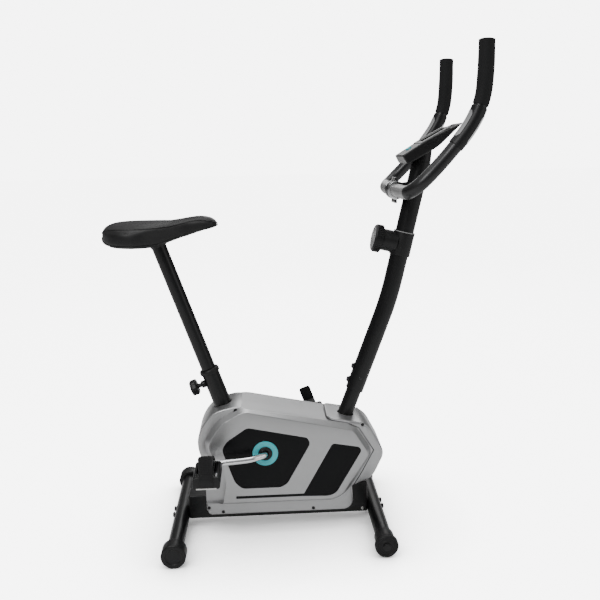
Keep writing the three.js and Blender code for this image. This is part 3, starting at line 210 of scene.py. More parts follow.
def dust_group() -> Tree:
    """Dust and fine scuffs: more on faces that look up, broken by noise."""
    graph = Graph.group("dust_mask", "ShaderNodeTree", {"Vector": "Vector", "Amount": "Float"},
                        {"Mask": "Float"})
    entry = graph.entry()
    normal = graph.add("ShaderNodeNewGeometry", output="Normal")
    lift = graph.span(graph.coordinate(normal, "Z"), from_min=-0.2, to_min=0.15)
    speck = graph.add("ShaderNodeTexNoise",
                      {"Vector": entry["Vector"], "Scale": 55, "Detail": 8, "Roughness": 0.7}, "Fac")
    product = graph.math("MULTIPLY", lift, graph.span(speck, from_min=0.42, from_max=0.75))
    graph.add("NodeGroupOutput", {"Mask": graph.math("MULTIPLY", product, entry["Amount"])})
    return graph.tree


@dataclass(frozen=True)
class Finish:
    """One procedural finish.

    The colour drifts between two tones, the roughness follows, and a fine grain lifts the surface.
    """

    name: str
    slot: Slot
    color: Triple
    deep: Triple
    roughness: float
    spread: float = 0.08
    metallic: float = 0.0
    scale: float = 500.0
    pebble: float = 0.2
    bump: float = 0.1
    depth: float = 0.0003
    coat: float = 0.0
    sheen: float = 0.0
    dust: float = 0.1
    specular: float = 0.5
    band: Pair | None = None
    band_color: Triple = (0.02, 0.02, 0.02)

    def build(self, grain_tree: Tree, dust_tree: Tree) -> bpy.types.Material:
        """Makes the material.

        Args:
            grain_tree: the shared group for grain and tone.
            dust_tree: the shared group for dust.

        Returns:
            The finished material.
        """
        material = bpy.data.materials.new(self.name)
        material.use_nodes = True
        graph = Graph(material.node_tree)
        place = graph.add("ShaderNodeTexCoord", output="Object")
        dust = graph.add("ShaderNodeGroup", {"Vector": place, "Amount": self.dust}, "Mask",
                         node_tree=dust_tree)
        given = {"Vector": place, "Scale": self.scale, "Pebble": self.pebble}
        height = graph.add("ShaderNodeGroup", given, "Height", node_tree=grain_tree)
        tone = height.node.outputs["Tone"]
        base = graph.blend(tone, self.deep, self.color)
        if self.band is not None:
            base = self._banded(graph, place, base)
        rough = graph.span(tone, to_min=max(0.02, self.roughness - self.spread),
                           to_max=min(1.0, self.roughness + self.spread))
        graph.feed(material.node_tree.nodes["Principled BSDF"], {
            "Base Color": graph.blend(dust, base, (0.42, 0.41, 0.4)),
            "Roughness": graph.math("ADD", rough, dust, use_clamp=True),
            "Normal": graph.add("ShaderNodeBump", {"Strength": self.bump, "Distance": self.depth,
                                                   "Height": height}, "Normal"),
            "Metallic": self.metallic, "Coat Weight": self.coat, "Coat Roughness": 0.18,
            "Sheen Weight": self.sheen, "Specular IOR Level": self.specular})
        return material

    def _banded(self, graph: Graph, place: Socket, base: Socket) -> Socket:
        """A second colour beyond a distance from the mid-plane.

        Args:
            graph: the material's graph.
            place: the object coordinates.
            base: the colour inside the band.

        Returns:
            The colour socket of the two together.
        """
        start, end = self.band
        away = graph.math("ABSOLUTE", graph.coordinate(place, "Y"))
        return graph.blend(graph.span(away, from_min=start, from_max=end), base, self.band_color)


FINISHES: dict[str, Finish] = {f.name: f for f in (
    Finish("black_powder_coat", Slot.FRAME, (0.006, 0.006, 0.0065), (0.003, 0.003, 0.0035), 0.33, bump=0.14,
           scale=900, coat=0.06, dust=0.006, specular=0.3),
    Finish("dark_zinc", Slot.STEEL, (0.06, 0.06, 0.062), (0.03, 0.03, 0.032), 0.36, metallic=0.9, bump=0.08,
           dust=0.01),
    Finish("silver_casing", Slot.CASING, (0.46, 0.463, 0.467), (0.39, 0.393, 0.397), 0.33, metallic=0.85,
           scale=1100, bump=0.07, dust=0.015, coat=0.25),
    Finish("dark_inset", Slot.INSET, (0.003, 0.003, 0.0035), (0.0015, 0.0015, 0.002), 0.34, scale=1400,
           pebble=0.7, bump=0.1, dust=0.004, specular=0.16),
    Finish("turquoise_ring", Slot.ACCENT, (0.06, 0.52, 0.58), (0.045, 0.45, 0.5), 0.3, bump=0.04, dust=0.01),
    Finish("bright_chrome", Slot.CHROME, (0.86, 0.865, 0.87), (0.8, 0.805, 0.81), 0.1, spread=0.04,
           metallic=1.0, bump=0.03, dust=0.02),
    Finish("zinc_steel", Slot.STEEL, (0.5, 0.5, 0.49), (0.4, 0.4, 0.39), 0.34, metallic=1.0, bump=0.08,
           dust=0.05),
    Finish("black_rubber", Slot.RUBBER, (0.007, 0.007, 0.0075), (0.004, 0.004, 0.0045), 0.52, scale=700,
           pebble=0.5, bump=0.25, dust=0.01, specular=0.3),
    Finish("black_foam", Slot.FOAM, (0.007, 0.007, 0.0075), (0.004, 0.004, 0.0045), 0.7, scale=650,
           pebble=0.85, bump=0.6, depth=0.0006, sheen=0.03, dust=0.008, specular=0.25),
    Finish("bar_two_tone", Slot.BAR, (0.36, 0.36, 0.36), (0.3, 0.3, 0.3), 0.36, metallic=0.45, scale=900,
           bump=0.08, coat=0.2, dust=0.03, band=(0.147, 0.149), band_color=(0.014, 0.014, 0.015)),
    Finish("saddle_vinyl", Slot.VINYL, (0.008, 0.008, 0.0085), (0.0045, 0.0045, 0.005), 0.45, scale=520,
           pebble=0.75, bump=0.34, depth=0.0005, sheen=0.02, dust=0.008, specular=0.34),
    Finish("black_plastic", Slot.PLASTIC, (0.007, 0.007, 0.0075), (0.004, 0.004, 0.0045), 0.4, scale=1000,
           pebble=0.5, bump=0.16, dust=0.006, specular=0.32),
    Finish("grey_plastic", Slot.PLASTIC, (0.3, 0.3, 0.3), (0.25, 0.25, 0.25), 0.42, scale=1000, bump=0.08,
           dust=0.03),
    Finish("reflector", Slot.SCREEN, (0.72, 0.72, 0.7), (0.6, 0.6, 0.58), 0.16, scale=320, pebble=1.0,
           bump=0.5, coat=0.6, dust=0.02),
    Finish("screen_face", Slot.SCREEN, (0.15, 0.17, 0.15), (0.12, 0.14, 0.12), 0.08, bump=0.0, coat=1.0,
           dust=0.02),
)}


# ---------------------------------------------------------------- mesh tools
def bent(start: Vector, towards: Vector, end: Vector, steps: int) -> list[Vector]:
    """A bend of steps + 1 places between two ends, drawn towards a third place."""
    return [start * (1 - t) ** 2 + towards * 2 * t * (1 - t) + end * t ** 2
            for t in (k / steps for k in range(steps + 1))]


def rounded(corners: Corners, steps: int, share: float, least: float = 0.0,
            closed: bool = True) -> list[Pair]:
    """Rounds each corner of a line.

    Args:
        corners: (x, z, radius) corners, in millimetres.
        steps: points along each rounded corner; all get the same number, so that offset outlines match.
        share: the most of a side that one rounding may take.
        least: the smallest reach of a rounding.
        closed: whether the line closes on itself; otherwise its two ends stay as they are.

    Returns:
        The rounded line's points.
    """
    points: list[Pair] = []
    count = len(corners)
    for i, (x, z, radius) in enumerate(corners):
        if not closed and i in (0, count - 1):
            points.append((x, z))
            continue
        here = Vector((x, z))
        back, ahead = (Vector(corners[n % count][:2]) - here for n in (i - 1, i + 1))
        reach = max(least, min(radius, back.length * share, ahead.length * share))
        bend = bent(here + back.normalized() * reach, here, here + ahead.normalized() * reach, steps)
        points += [(p.x, p.y) for p in bend]
    return points


def outline(corners: Corners, steps: int = 8) -> list[Pair]:
    """A closed outline with each corner rounded by its own radius."""
    return rounded(corners, steps, 0.48, 0.05)


def fillet(profile: Sequence[Pair], radius: float, closed: bool = False) -> list[Pair]:
    """A profile of (radius, height) points with every inner corner rounded alike."""
    return rounded([(a, b, radius) for a, b in profile], 4, 0.45, closed=closed)


def shrunk(corners: Corners, wall: float) -> list[Triple]:
    """Moves a counter-clockwise outline's corners inwards by a wall.

    Args:
        corners: (x, z, radius) corners.
        wall: how far inwards; a negative wall grows the outline.

    Returns:
        The moved corners.
    """
    moved = []
    for i, (x, z, radius) in enumerate(corners):
        here = Vector((x, z))
        into = (here - Vector(corners[i - 1][:2])).normalized()
        out = (Vector(corners[(i + 1) % len(corners)][:2]) - here).normalized()
        normal = Vector((-into.y - out.y, into.x + out.x)).normalized()
        reach = wall / max(0.35, normal.dot(Vector((-into.y, into.x))))
        moved.append((x + normal.x * reach, z + normal.y * reach, max(0.0, radius - wall)))
    return moved


def smooth_by(target: Thing, angle: float = SHARP) -> Thing:
    """Shades an object smooth, with edges over an angle in degrees kept sharp."""
    target.data.polygons.foreach_set("use_smooth", [True] * len(target.data.polygons))
    target.data.set_sharp_from_angle(angle=math.radians(angle))
    return target


def link_new(mesh: bpy.types.Mesh, name: str = "shape") -> Thing:
    """A new object of a mesh, linked to the scene."""
    obj = bpy.data.objects.new(name, mesh)
    bpy.context.scene.collection.objects.link(obj)
    return obj


def finish_mesh(work: bmesh.types.BMesh, angle: float = 35.0) -> Thing:
    """Merges doubles, points the faces outwards and shades the mesh.

    Args:
        work: the mesh in edit form; it is freed.
        angle: edges sharper than this stay sharp, in degrees.

    Returns:
        The new object, linked to the scene.
    """
    bmesh.ops.remove_doubles(work, verts=work.verts, dist=2e-6)
    bmesh.ops.dissolve_degenerate(work, edges=work.edges, dist=1e-7)
    bmesh.ops.recalc_face_normals(work, faces=work.faces)
    mesh = bpy.data.meshes.new("shape")
    work.to_mesh(mesh)
    work.free()
    return smooth_by(link_new(mesh), angle)


def loft(rings: Sequence[Sequence[Vector]], loop: bool = False, angle: float = 35.0) -> Thing:
    """Joins rings of equal counts with faces.

    Args:
        rings: the rings, in metres.
        loop: joins the last ring to the first in place of two end caps.
        angle: the sharp-edge angle.

    Returns:
        The closed object.
    """
    work = bmesh.new()
    rows = [[work.verts.new(point) for point in ring] for ring in rings]
    pairs = list(zip(rows, rows[1:]))
    if loop:
        pairs.append((rows[-1], rows[0]))
    for low, high in pairs:
        for i in range(len(low)):
            j = (i + 1) % len(low)
            work.faces.new((low[i], low[j], high[j], high[i]))
    if not loop:
        for row in (rows[0], rows[-1]):
            work.faces.new(row)
    return finish_mesh(work, angle)


def frame_of(axis: Vector) -> tuple[Vector, Vector]:
    """Two unit directions across an axis."""
    helper = Vector((0, 1, 0)) if abs(axis.normalized().y) < 0.9 else Vector((1, 0, 0))
    side = axis.cross(helper).normalized()
    return side, axis.cross(side).normalized()


def circle(centre: Vector, across: tuple[Vector, Vector], radius: float, sides: int) -> list[Vector]:
    """Places round a centre, in the plane of two directions, at a radius in millimetres."""
    side, up = across
    return [centre + (side * math.cos(t) + up * math.sin(t)) * radius * MM
            for t in (2 * math.pi * k / sides for k in range(sides))]


def turned(profile: Sequence[Pair], origin: Vector, axis: Vector, sides: int = 64,
           loop: bool = False) -> Thing:
    """Turns a profile about an axis.

    Args:
        profile: (radius, height) points in millimetres, heights along the axis.
        origin: where height 0 lies, in metres.
        axis: the axis direction.
        sides: facets round the axis.
        loop: the profile closes on itself, as on a ring.

    Returns:
        The closed object.
    """
    across, along = frame_of(axis), axis.normalized()
    return loft([circle(origin + along * height * MM, across, max(radius, 1e-4), sides)
                 for radius, height in profile], loop)


def directions(path: Sequence[Vector]) -> list[Vector]:
    """The direction of travel at each place of an open path."""
    last = len(path) - 1
    return [(path[min(i + 1, last)] - path[max(i - 1, 0)]).normalized() for i in range(len(path))]


def sweep(path: Sequence[Vector], radius: Radius, sides: int = 40, bore: float = 0.0,
          soft: float = 0.0) -> Thing:
    """Runs a round section along a path, keeping it untwisted.

    Args:
        path: the path's points, in metres.
        radius: the outer radius in millimetres, or a rule of the share along the path.
        sides: facets round the section.
        bore: the inner radius; 0 gives a closed rod.
        soft: rounding of the ends, in millimetres.

    Returns:
        The closed object.
    """
    rule = radius if callable(radius) else (lambda _share: radius)
    ahead = directions(path)
    side, _ = frame_of(ahead[0])
    frames = []
    for direction in ahead:
        side = (side - direction * side.dot(direction)).normalized()
        frames.append((side.copy(), direction.cross(side)))

    def ring(index: int, size: float, push: float = 0.0) -> list[Vector]:
        """One section, pushed along the path by a little."""
        return circle(path[index] + ahead[index] * push * MM, frames[index], size, sides)

    last = len(path) - 1
    rings = [ring(i, rule(i / last)) for i in range(len(path))]
    if soft > 0:
        rings[0], rings[-1] = ring(0, rule(0), soft), ring(last, rule(1), -soft)
        for turn in (math.radians(a) for a in (30, 60, 90)):
            push, size = soft * (1 - math.sin(turn)), soft * (1 - math.cos(turn))
            rings.insert(0, ring(0, rule(0) - size, push))
            rings.append(ring(last, rule(1) - size, -push))
    if bore > 0:
        rings += [ring(i, bore) for i in range(last, -1, -1)]
    return loft(rings, loop=bore > 0)


def rod(start: Vector, end: Vector, radius: float, sides: int = 40, soft: float = 0.0) -> Thing:
    """A straight round bar between two places, in metres, with a radius in millimetres."""
    return sweep([start, start.lerp(end, 0.5), end], radius, sides, soft=soft)


def settle(target: Thing) -> Thing:
    """Turns an object's modifiers into its mesh."""
    bpy.context.view_layer.update()
    shape = bpy.data.meshes.new_from_object(target.evaluated_get(bpy.context.evaluated_depsgraph_get()))
    target.modifiers.clear()
    old, target.data = target.data, shape
    bpy.data.meshes.remove(old)
    return target


def boolean(kind: str, target: Thing, tools: Iterable[Thing]) -> Thing:
    """Joins or cuts one object with others, which are removed.

    Args:
        kind: DIFFERENCE, UNION or INTERSECT.
        target: the object that is kept.
        tools: the objects that join or cut it, one after the other.

    Returns:
        The target with its new mesh.
    """
    for tool in tools:
        step = target.modifiers.new("cut", "BOOLEAN")
        step.operation, step.object, step.solver = kind, tool, "EXACT"
        settle(target)
        bpy.data.objects.remove(tool)
    return target


def cut(target: Thing, *tools: Thing) -> Thing:
    """Takes other shapes out of an object."""
    return boolean("DIFFERENCE", target, tools)


def join(target: Thing, *tools: Thing) -> Thing:
    """Adds other shapes to an object."""
    return boolean("UNION", target, tools)


def keep(target: Thing, tool: Thing) -> Thing:
    """Keeps only what lies inside another shape."""
    return boolean("INTERSECT", target, (tool,))


def box(low: Vector, high: Vector, radius: float = 0.0) -> Thing:
    """A box between two corners, in metres, with its edges rounded by millimetres."""
    work = bmesh.new()
    bmesh.ops.create_cube(work, size=1.0)
    for vert in work.verts:
        vert.co = Vector((low[k] + (vert.co[k] + 0.5) * (high[k] - low[k]) for k in range(3)))
    if radius > 0:
        bmesh.ops.bevel(work, geom=work.edges[:], offset=radius * MM, segments=3, profile=0.5, affect="EDGES")
    return finish_mesh(work, 30.0 if radius > 0 else 35.0)


def arc(points: Sequence[Vector], steps: int) -> list[Vector]:
    """A centripetal curve through points, sampled evenly by parameter.

    Args:
        points: the points that the curve passes.
        steps: samples on each stretch.

    Returns:
        The sampled curve.
    """
    ext = [points[0] * 2 - points[1], *points, points[-1] * 2 - points[-2]]
    knots = [0.0]
    for a, b in zip(ext, ext[1:]):
        knots.append(knots[-1] + max(1e-9, (b - a).length) ** 0.5)
    out: list[Vector] = []
    for i in range(1, len(ext) - 2):
        k = knots[i - 1:i + 3]
        for s in range(steps + (i == len(ext) - 3)):
            t = k[1] + (k[2] - k[1]) * s / steps
            level = ext[i - 1:i + 3]
            for gap in (1, 2):
                level = [level[n] * ((k[n + gap] - t) / (k[n + gap] - k[n]))
                         + level[n + 1] * ((t - k[n]) / (k[n + gap] - k[n])) for n in range(4 - gap)]
            out.append(level[0] * ((k[2] - t) / (k[2] - k[1])) + level[1] * ((t - k[1]) / (k[2] - k[1])))
    return out


# ---------------------------------------------------------------- repeated parts, as Geometry Nodes
class Repeat:
    """Instances one small shape on listed points, each turned to its own direction."""

    def __init__(self, name: str, dome: bool = False) -> None:
        """Builds the tree, whose inputs are the points, the shape's size and its material.

        Args:
            name: the tree's name.
            dome: a ball of 24 by 12 facets in place of a bar.
        """
        graph = Graph.group(name, "GeometryNodeTree",
                            {"Geometry": "Geometry", "Size": "Vector", "Material": "Material"},
                            {"Geometry": "Geometry"})
        entry = graph.entry()
        ball = {"Segments": 24, "Rings": 12, "Radius": 1.0}
        shape = (graph.add("GeometryNodeMeshUVSphere", ball, "Mesh") if dome
                 else graph.add("GeometryNodeMeshCube", output="Mesh"))
        grown = graph.add("GeometryNodeTransform", {"Geometry": shape, "Scale": entry["Size"]})
        turns: dict[str, Socket] = {}
        for label, settings in (("facing", {"axis": "Z"}), ("along", {"axis": "X", "pivot_axis": "Z"})):
            way = graph.add("GeometryNodeInputNamedAttribute", {"Name": label}, "Attribute",
                            data_type="FLOAT_VECTOR")
            turns["Rotation"] = graph.add("FunctionNodeAlignRotationToVector", {"Vector": way, **turns},
                                          **settings)
        spread = graph.add("GeometryNodeInstanceOnPoints",
                           {"Points": entry["Geometry"], "Instance": grown, **turns})
        solid = graph.add("GeometryNodeRealizeInstances", {"Geometry": spread})
        graph.add("NodeGroupOutput", {"Geometry": graph.add(
            "GeometryNodeSetMaterial", {"Geometry": solid, "Material": entry["Material"]})})
        self.tree = graph.tree

    def make(self, name: str, size: Triple, spots: Sequence[Spot], material: bpy.types.Material) -> Thing:
        """Places the shape.

        Args:
            name: the object's name.
            size: the bar's length, width and height in millimetres, or the ball's radii.
            spots: for each copy its place, the direction of its top and the direction of its length.
            material: its finish.

        Returns:
            One object holding every copy.
        """
        mesh = bpy.data.meshes.new(name)
        mesh.from_pydata([spot[0] for spot in spots], [], [])
        for index, label in ((1, "facing"), (2, "along")):
            layer = mesh.attributes.new(label, "FLOAT_VECTOR", "POINT")
            for i, spot in enumerate(spots):
                layer.data[i].vector = spot[index]
        obj = link_new(mesh, name)
        step = obj.modifiers.new("repeat", "NODES")
        step.node_group = self.tree
        for socket in self.tree.interface.items_tree:
            if socket.in_out == "INPUT" and socket.name in ("Size", "Material"):
                step[socket.identifier] = material if socket.name == "Material" else [s * MM for s in size]
        return smooth_by(settle(obj), 35.0)


# ---------------------------------------------------------------- lines that several pieces follow
FLOOR_TO_BEAM_TOP = 62.0
SEAT_TILT = 18.8
SEAT_TUBE_LENGTH = (399 - FLOOR_TO_BEAM_TOP) / math.cos(math.radians(SEAT_TILT))
PIN_STATION = SEAT_TUBE_LENGTH - 22.5
PIN_BORE = 5.8
POST_TOP = SEAT_TUBE_LENGTH + 341
FRONT, UP = Vector((1, 0, 0)), Vector((0, 0, 1))


def tilted(degrees: float, lean: int = 1) -> Vector:
    """A unit direction in the mid-plane that leans from vertical."""
    return Vector((lean * math.sin(math.radians(degrees)), 0, math.cos(math.radians(degrees))))


@dataclass(frozen=True)
class LeaningLine:
    """A straight axis in the mid-plane that starts on the beam and leans from vertical."""

    shop: Workshop
    foot_x: float
    tilt: float
    lean: int

    @property
    def along(self) -> Vector:
        """The axis direction."""
        return tilted(self.tilt, self.lean)

    @property
    def back(self) -> Vector:
        """The direction square to the axis, towards the rear."""
        return Vector((-self.along.z, 0, self.along.x))

    def point(self, distance: float, behind: float = 0.0) -> Vector:
        """A place on the axis, or behind it, in metres."""
        offset = self.along * distance + self.back * behind
        return self.shop.at(self.foot_x + offset.x, 0, FLOOR_TO_BEAM_TOP + offset.z)

    def run(self, start: float, end: float, steps: int) -> list[Vector]:
        """Even places on the axis between two distances."""
        return [self.point(start + (end - start) * k / steps) for k in range(steps + 1)]

    def rod(self, distance: float, start: float, end: float, radius: float, soft: float = 0.0) -> Thing:
        """A round bar square to the axis, between two distances behind it."""
        return rod(self.point(distance, start), self.point(distance, end), radius, soft=soft)


@dataclass(frozen=True)
class MastPath:
    """The mast's axis above its lower joint: straight, one bend, straight."""

    line: LeaningLine
    joint: float = 300.0
    bend: float = 546.0
    reach: float = 50.0
    upper: Vector = field(default_factory=lambda: tilted(13.2))
    top: float = 335.0

    def points(self) -> list[Vector]:
        """The axis from the joint to the top."""
        begin, low, corner = (self.line.point(s) for s in (self.joint, self.bend - self.reach, self.bend))
        high, end = (corner + self.upper * s * MM for s in (self.reach, self.top))
        straight = [begin.lerp(low, k / 6) for k in range(6)]
        return straight + bent(low, corner, high, 12)[:-1] + [high.lerp(end, k / 8) for k in range(9)]

    def at_height(self, height: float) -> Spot:
        """The axis' place, direction and rearward direction where it reaches a height in millimetres."""
        path = self.points()
        for low, high in zip(path, path[1:]):
            if high.z >= height * MM:
                along = (high - low).normalized()
                place = low.lerp(high, (height * MM - low.z) / (high.z - low.z))
                return place, along, Vector((-along.z, 0, along.x))
        raise ValueError(height)


# ---------------------------------------------------------------- the workshop
class Workshop:
    """Holds the frame, the finishes and the datum, and places each finished piece."""

    def __init__(self, frame: dict) -> None:
        """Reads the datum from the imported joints.
        """
        self.frame = frame
        crank = next(joint["pos_m"] for joint in frame["joints"] if joint["name"] == "crank_spin")
        self.shift = Vector(crank)[0] / MM
        shared = grain_group(), dust_group()
        self.finishes = {name: finish.build(*shared) for name, finish in FINISHES.items()}
        self.domes, self.bars = Repeat("screw_heads", dome=True), Repeat("ridges")
        self.seat = LeaningLine(self, -15.1, SEAT_TILT, -1)
        self.mast = LeaningLine(self, 121.4, 20.6, 1)
        self.mast_path = MastPath(self.mast)

    def at(self, x: float, y: float, z: float) -> Vector:
        """A point given from the crank axis and the floor in millimetres, in metres of the frame."""
        return Vector(((x + self.shift) * MM, y * MM, z * MM))

    def place(self, obj: Thing, finish: str, body: str, *nodes: str, name: str = "") -> Thing:
        """Gives a piece its name, its finish, its body and the nodes that it stands for.

        Args:
            obj: the finished mesh.
            finish: a name in FINISHES.
            body: the body that it rides.
            nodes: the frame's nodes that it replaces.
            name: the piece's name, where it replaces no node.

        Returns:
            The same object.
        """
        obj.name = name or f"{nodes[0]}_fine"
        obj.data.materials.clear()
        obj.data.materials.append(self.finishes[finish])
        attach(obj, body)
        if nodes:
            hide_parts(*nodes)
        LOG.info("%s rides %s", obj.name, body)
        return obj

    def slab(self, corners: Corners, y0: float, y1: float, edge: float = 0.0, steps: int = 8,
             both: bool = True) -> Thing:
        """A plate in X and Z between two distances from the mid-plane, with rounded edges.

        Args:
            corners: (x, z, radius) corners.
            y0: the inner face.
            y1: the outer face.
            edge: the edges' rounding.
            steps: points along each corner.
            both: rounds both faces' edges, not only the outer one's.

        Returns:
            The closed plate.
        """
        stations = [(0.0, y0), (0.0, y1)]
        if edge > 0:
            way = 1 if y1 > y0 else -1
            turns = [math.radians(a) for a in (0, 22.5, 45, 67.5, 90)]
            inner, outer = ([(edge * (1 - math.sin(t)), y + to * edge * (1 - math.cos(t))) for t in turns]
                            for y, to in ((y0, way), (y1, -way)))
            stations = (inner if both else stations[:1]) + outer[::-1]
        return loft([[self.at(x, y, z)
                      for x, z in outline(shrunk(corners, wall) if wall > 0 else corners, steps)]
                     for wall, y in stations])

    def bar(self, x: float, z: float, y0: float, y1: float, radius: float, sides: int = 64,
            soft: float = 0.0) -> Thing:
        """A round bar that runs from side to side."""
        return rod(self.at(x, y0, z), self.at(x, y1, z), radius, sides, soft)

    def box(self, xs: Pair, ys: Pair, zs: Pair, radius: float = 0.0) -> Thing:
        """A box given in millimetres, for cuts or as a body."""
        return box(self.at(min(xs), min(ys), min(zs)), self.at(max(xs), max(ys), max(zs)), radius)

    def screws(self, name: str, spots: Iterable[tuple[Vector, Vector]], finish: str = "zinc_steel") -> Thing:
        """Dome screw heads at places, each with the direction that it faces."""
        listed = [(place, facing, frame_of(facing)[0]) for place, facing in spots]
        heads = self.domes.make(name, (4.2, 4.2, 1.9), listed, self.finishes[finish])
        return self.place(heads, finish, "frame", name=name)

    def ridges(self, size: Triple, spots: Sequence[Spot], finish: str) -> Thing:
        """Small bars of one size on listed spots."""
        return self.bars.make("ridges", size, spots, self.finishes[finish])

    def cad(self, finish: str, *nodes: str) -> None:
        """Gives hidden or plain nodes of the frame a procedural finish."""
        for node in nodes:
            held = self.frame["nodes"][node]
            held.data.materials.clear()
            held.data.materials.append(self.finishes[finish])


# ---------------------------------------------------------------- the frame and its feet
@dataclass
class FrameWeldment:
    """The black base beam with its end blocks, the seat tube and the mast's stub."""

    shop: Workshop
    half_width: float = 25.0
    stations: Pair = (-216.0, 275.0)
    axle_z: float = 29.0
    tube_radius: float = 19.0

    def build(self) -> None:
        """Builds every visible piece of the weldment."""
        line = self.shop.seat
        self.beam()
        boss = line.rod(PIN_STATION, 20.3, 31, 9, soft=1.2)
        tube = join(sweep(line.run(-20, SEAT_TUBE_LENGTH, 12), 21.5, 56, bore=19.7), boss)
        self.stand("frame_seat_tube", cut(tube, line.rod(PIN_STATION, 2, 40, PIN_BORE)))
        self.stand("frame_mast_stub", sweep(self.shop.mast.run(-20, 394.7, 8), 18.7, 48, bore=16.7))
        self.shop.cad("black_powder_coat", "frame_hub_shell", "frame_flywheel_bracket")

    def beam(self) -> None:
        """One beam with a raised block at each end, hollowed where the stabilizer tubes lie."""
        corners = [(-198, 22, 5), (256, 22, 5), (256, 104, 6), (197, 104, 6), (197, 62, 4), (-132, 62, 4),
                   (-132, 84, 6), (-198, 84, 6)]
        beam = cut(self.shop.slab(corners, -self.half_width, self.half_width, edge=3.5),
                   *(self.shop.bar(x, self.axle_z, -40, 40, self.tube_radius + GAP) for x in self.stations))
        self.shop.place(smooth_by(beam, 30), "black_powder_coat", "frame", "frame_beam")
        self.shop.screws("block_bolts", [(self.shop.at(243, side.value * self.half_width, 31), side.out)
                                         for side in Side])

    def stand(self, node: str, tube: Thing) -> None:
        """Trims a tube's foot level with the beam and places it."""
        cut(tube, self.shop.box((-FAR, FAR), (-60, 60), (-50, FLOOR_TO_BEAM_TOP + GAP)))
        self.shop.place(smooth_by(tube, 30), "black_powder_coat", "frame", node)


@dataclass
class Feet:
    """The two stabilizers with their caps, levelling discs and transport rollers."""

    shop: Workshop
    rear_x: float = -216.0
    front_x: float = 275.0
    half: float = 216.0
    z: float = 29.0
    tube_radius: float = 19.0
    cap_depth: float = 36.0
    cap_wall: float = 5.0
    head: float = 3.0
    roller_room: float = 15.6
    roller_half: float = 7.5

    def build(self) -> None:
        """Builds both stabilizers."""
        rear = self.half - self.cap_wall - GAP
        for end, x, half in (("rear", self.rear_x, rear),
                             ("front", self.front_x, rear - self.head - self.roller_room)):
            path = [self.shop.at(x, -half + 2 * half * k / 12, self.z) for k in range(13)]
            tube = sweep(path, self.tube_radius, 56, bore=17.4)
            self.shop.place(tube, "black_powder_coat", "frame", f"stabilizer_{end}")
            self.shop.cad("dark_zinc", *(f"stabilizer_bolt_{end}_{side.word}" for side in Side))
        for side in Side:
            self.rear_cap(side)
            self.front_cap(side)
            self.roller(side)

    def bar(self, side: Side, x: float, start: float, end: float, radius: float, soft: float = 0.0) -> Thing:
        """A round bar on a tube's axis, on one side."""
        return self.shop.bar(x, self.z, side.value * start, side.value * end, radius, soft=soft)

    def rear_cap(self, side: Side) -> None:
        """A ten-sided levelling cap with a soft rim and a shallow dish in its face."""
        way, x, reach = side.value, self.rear_x, 29 / math.cos(math.pi / 10)
        corners = [(x + reach * math.cos(a), self.z + reach * math.sin(a), 7)
                   for a in (math.radians(-72 + 36 * k) for k in range(10))]
        cap = self.shop.slab(corners, way * (self.half - self.cap_depth), way * self.half, 4, steps=5)
        socket = self.bar(side, x, self.half - 40, self.half - self.cap_wall, self.tube_radius + GAP)
        dish = turned([(0, 0.001), (17, 0.001), (19.5, 1.6), (19.5, 6), (0, 6)],
                      self.shop.at(x, way * (self.half - 1.6), self.z), side.out)
        self.shop.place(smooth_by(cut(cap, socket, dish)), "black_plastic",
                        f"leveller_{side.word}_body", f"cap_rear_{side.word}")

    def front_cap(self, side: Side) -> None:
        """A round sleeve with a flat foot, and the axle and head that hold the roller."""
        way, x, end = side.value, self.front_x, self.half - self.head
        wall = end - self.roller_room
        inner = wall - self.cap_depth
        foot = self.shop.box((x - 17, x + 17), (way * inner, way * wall), (0.02, self.z), 2.5)
        sleeve = join(self.bar(side, x, inner, wall, 23, 2), foot, self.bar(side, x, wall - 1, end + GAP, 5),
                      self.bar(side, x, end, self.half, 9, 1.1))
        cut(sleeve, self.bar(side, x, inner - 2, wall - self.cap_wall, self.tube_radius + GAP))
        self.shop.place(smooth_by(sleeve), "black_plastic", "frame", f"cap_front_{side.word}")

    def roller(self, side: Side) -> None:
        """A transport wheel with a crowned tread, a groove and a dished face."""
        half, hub = self.roller_half, 5 + GAP
        flank = [(hub, -half), (14, -half), (16, -half + 2), (21, -half + 2), (22.5, -half), (25.5, -half),
                 (27.5, -half + 2.5), (27.5, -1.2)]
        profile = fillet([*flank, (26.5, 0), *((r, -y) for r, y in reversed(flank))], 0.8, closed=True)
        middle = self.half - self.head - GAP - half
        origin = self.shop.at(self.front_x, side.value * middle, self.z)
        wheel = turned(profile, origin, Side.LEFT.out, loop=True)
        self.shop.place(wheel, "black_rubber", f"roller_{side.word}_body", f"roller_{side.word}")


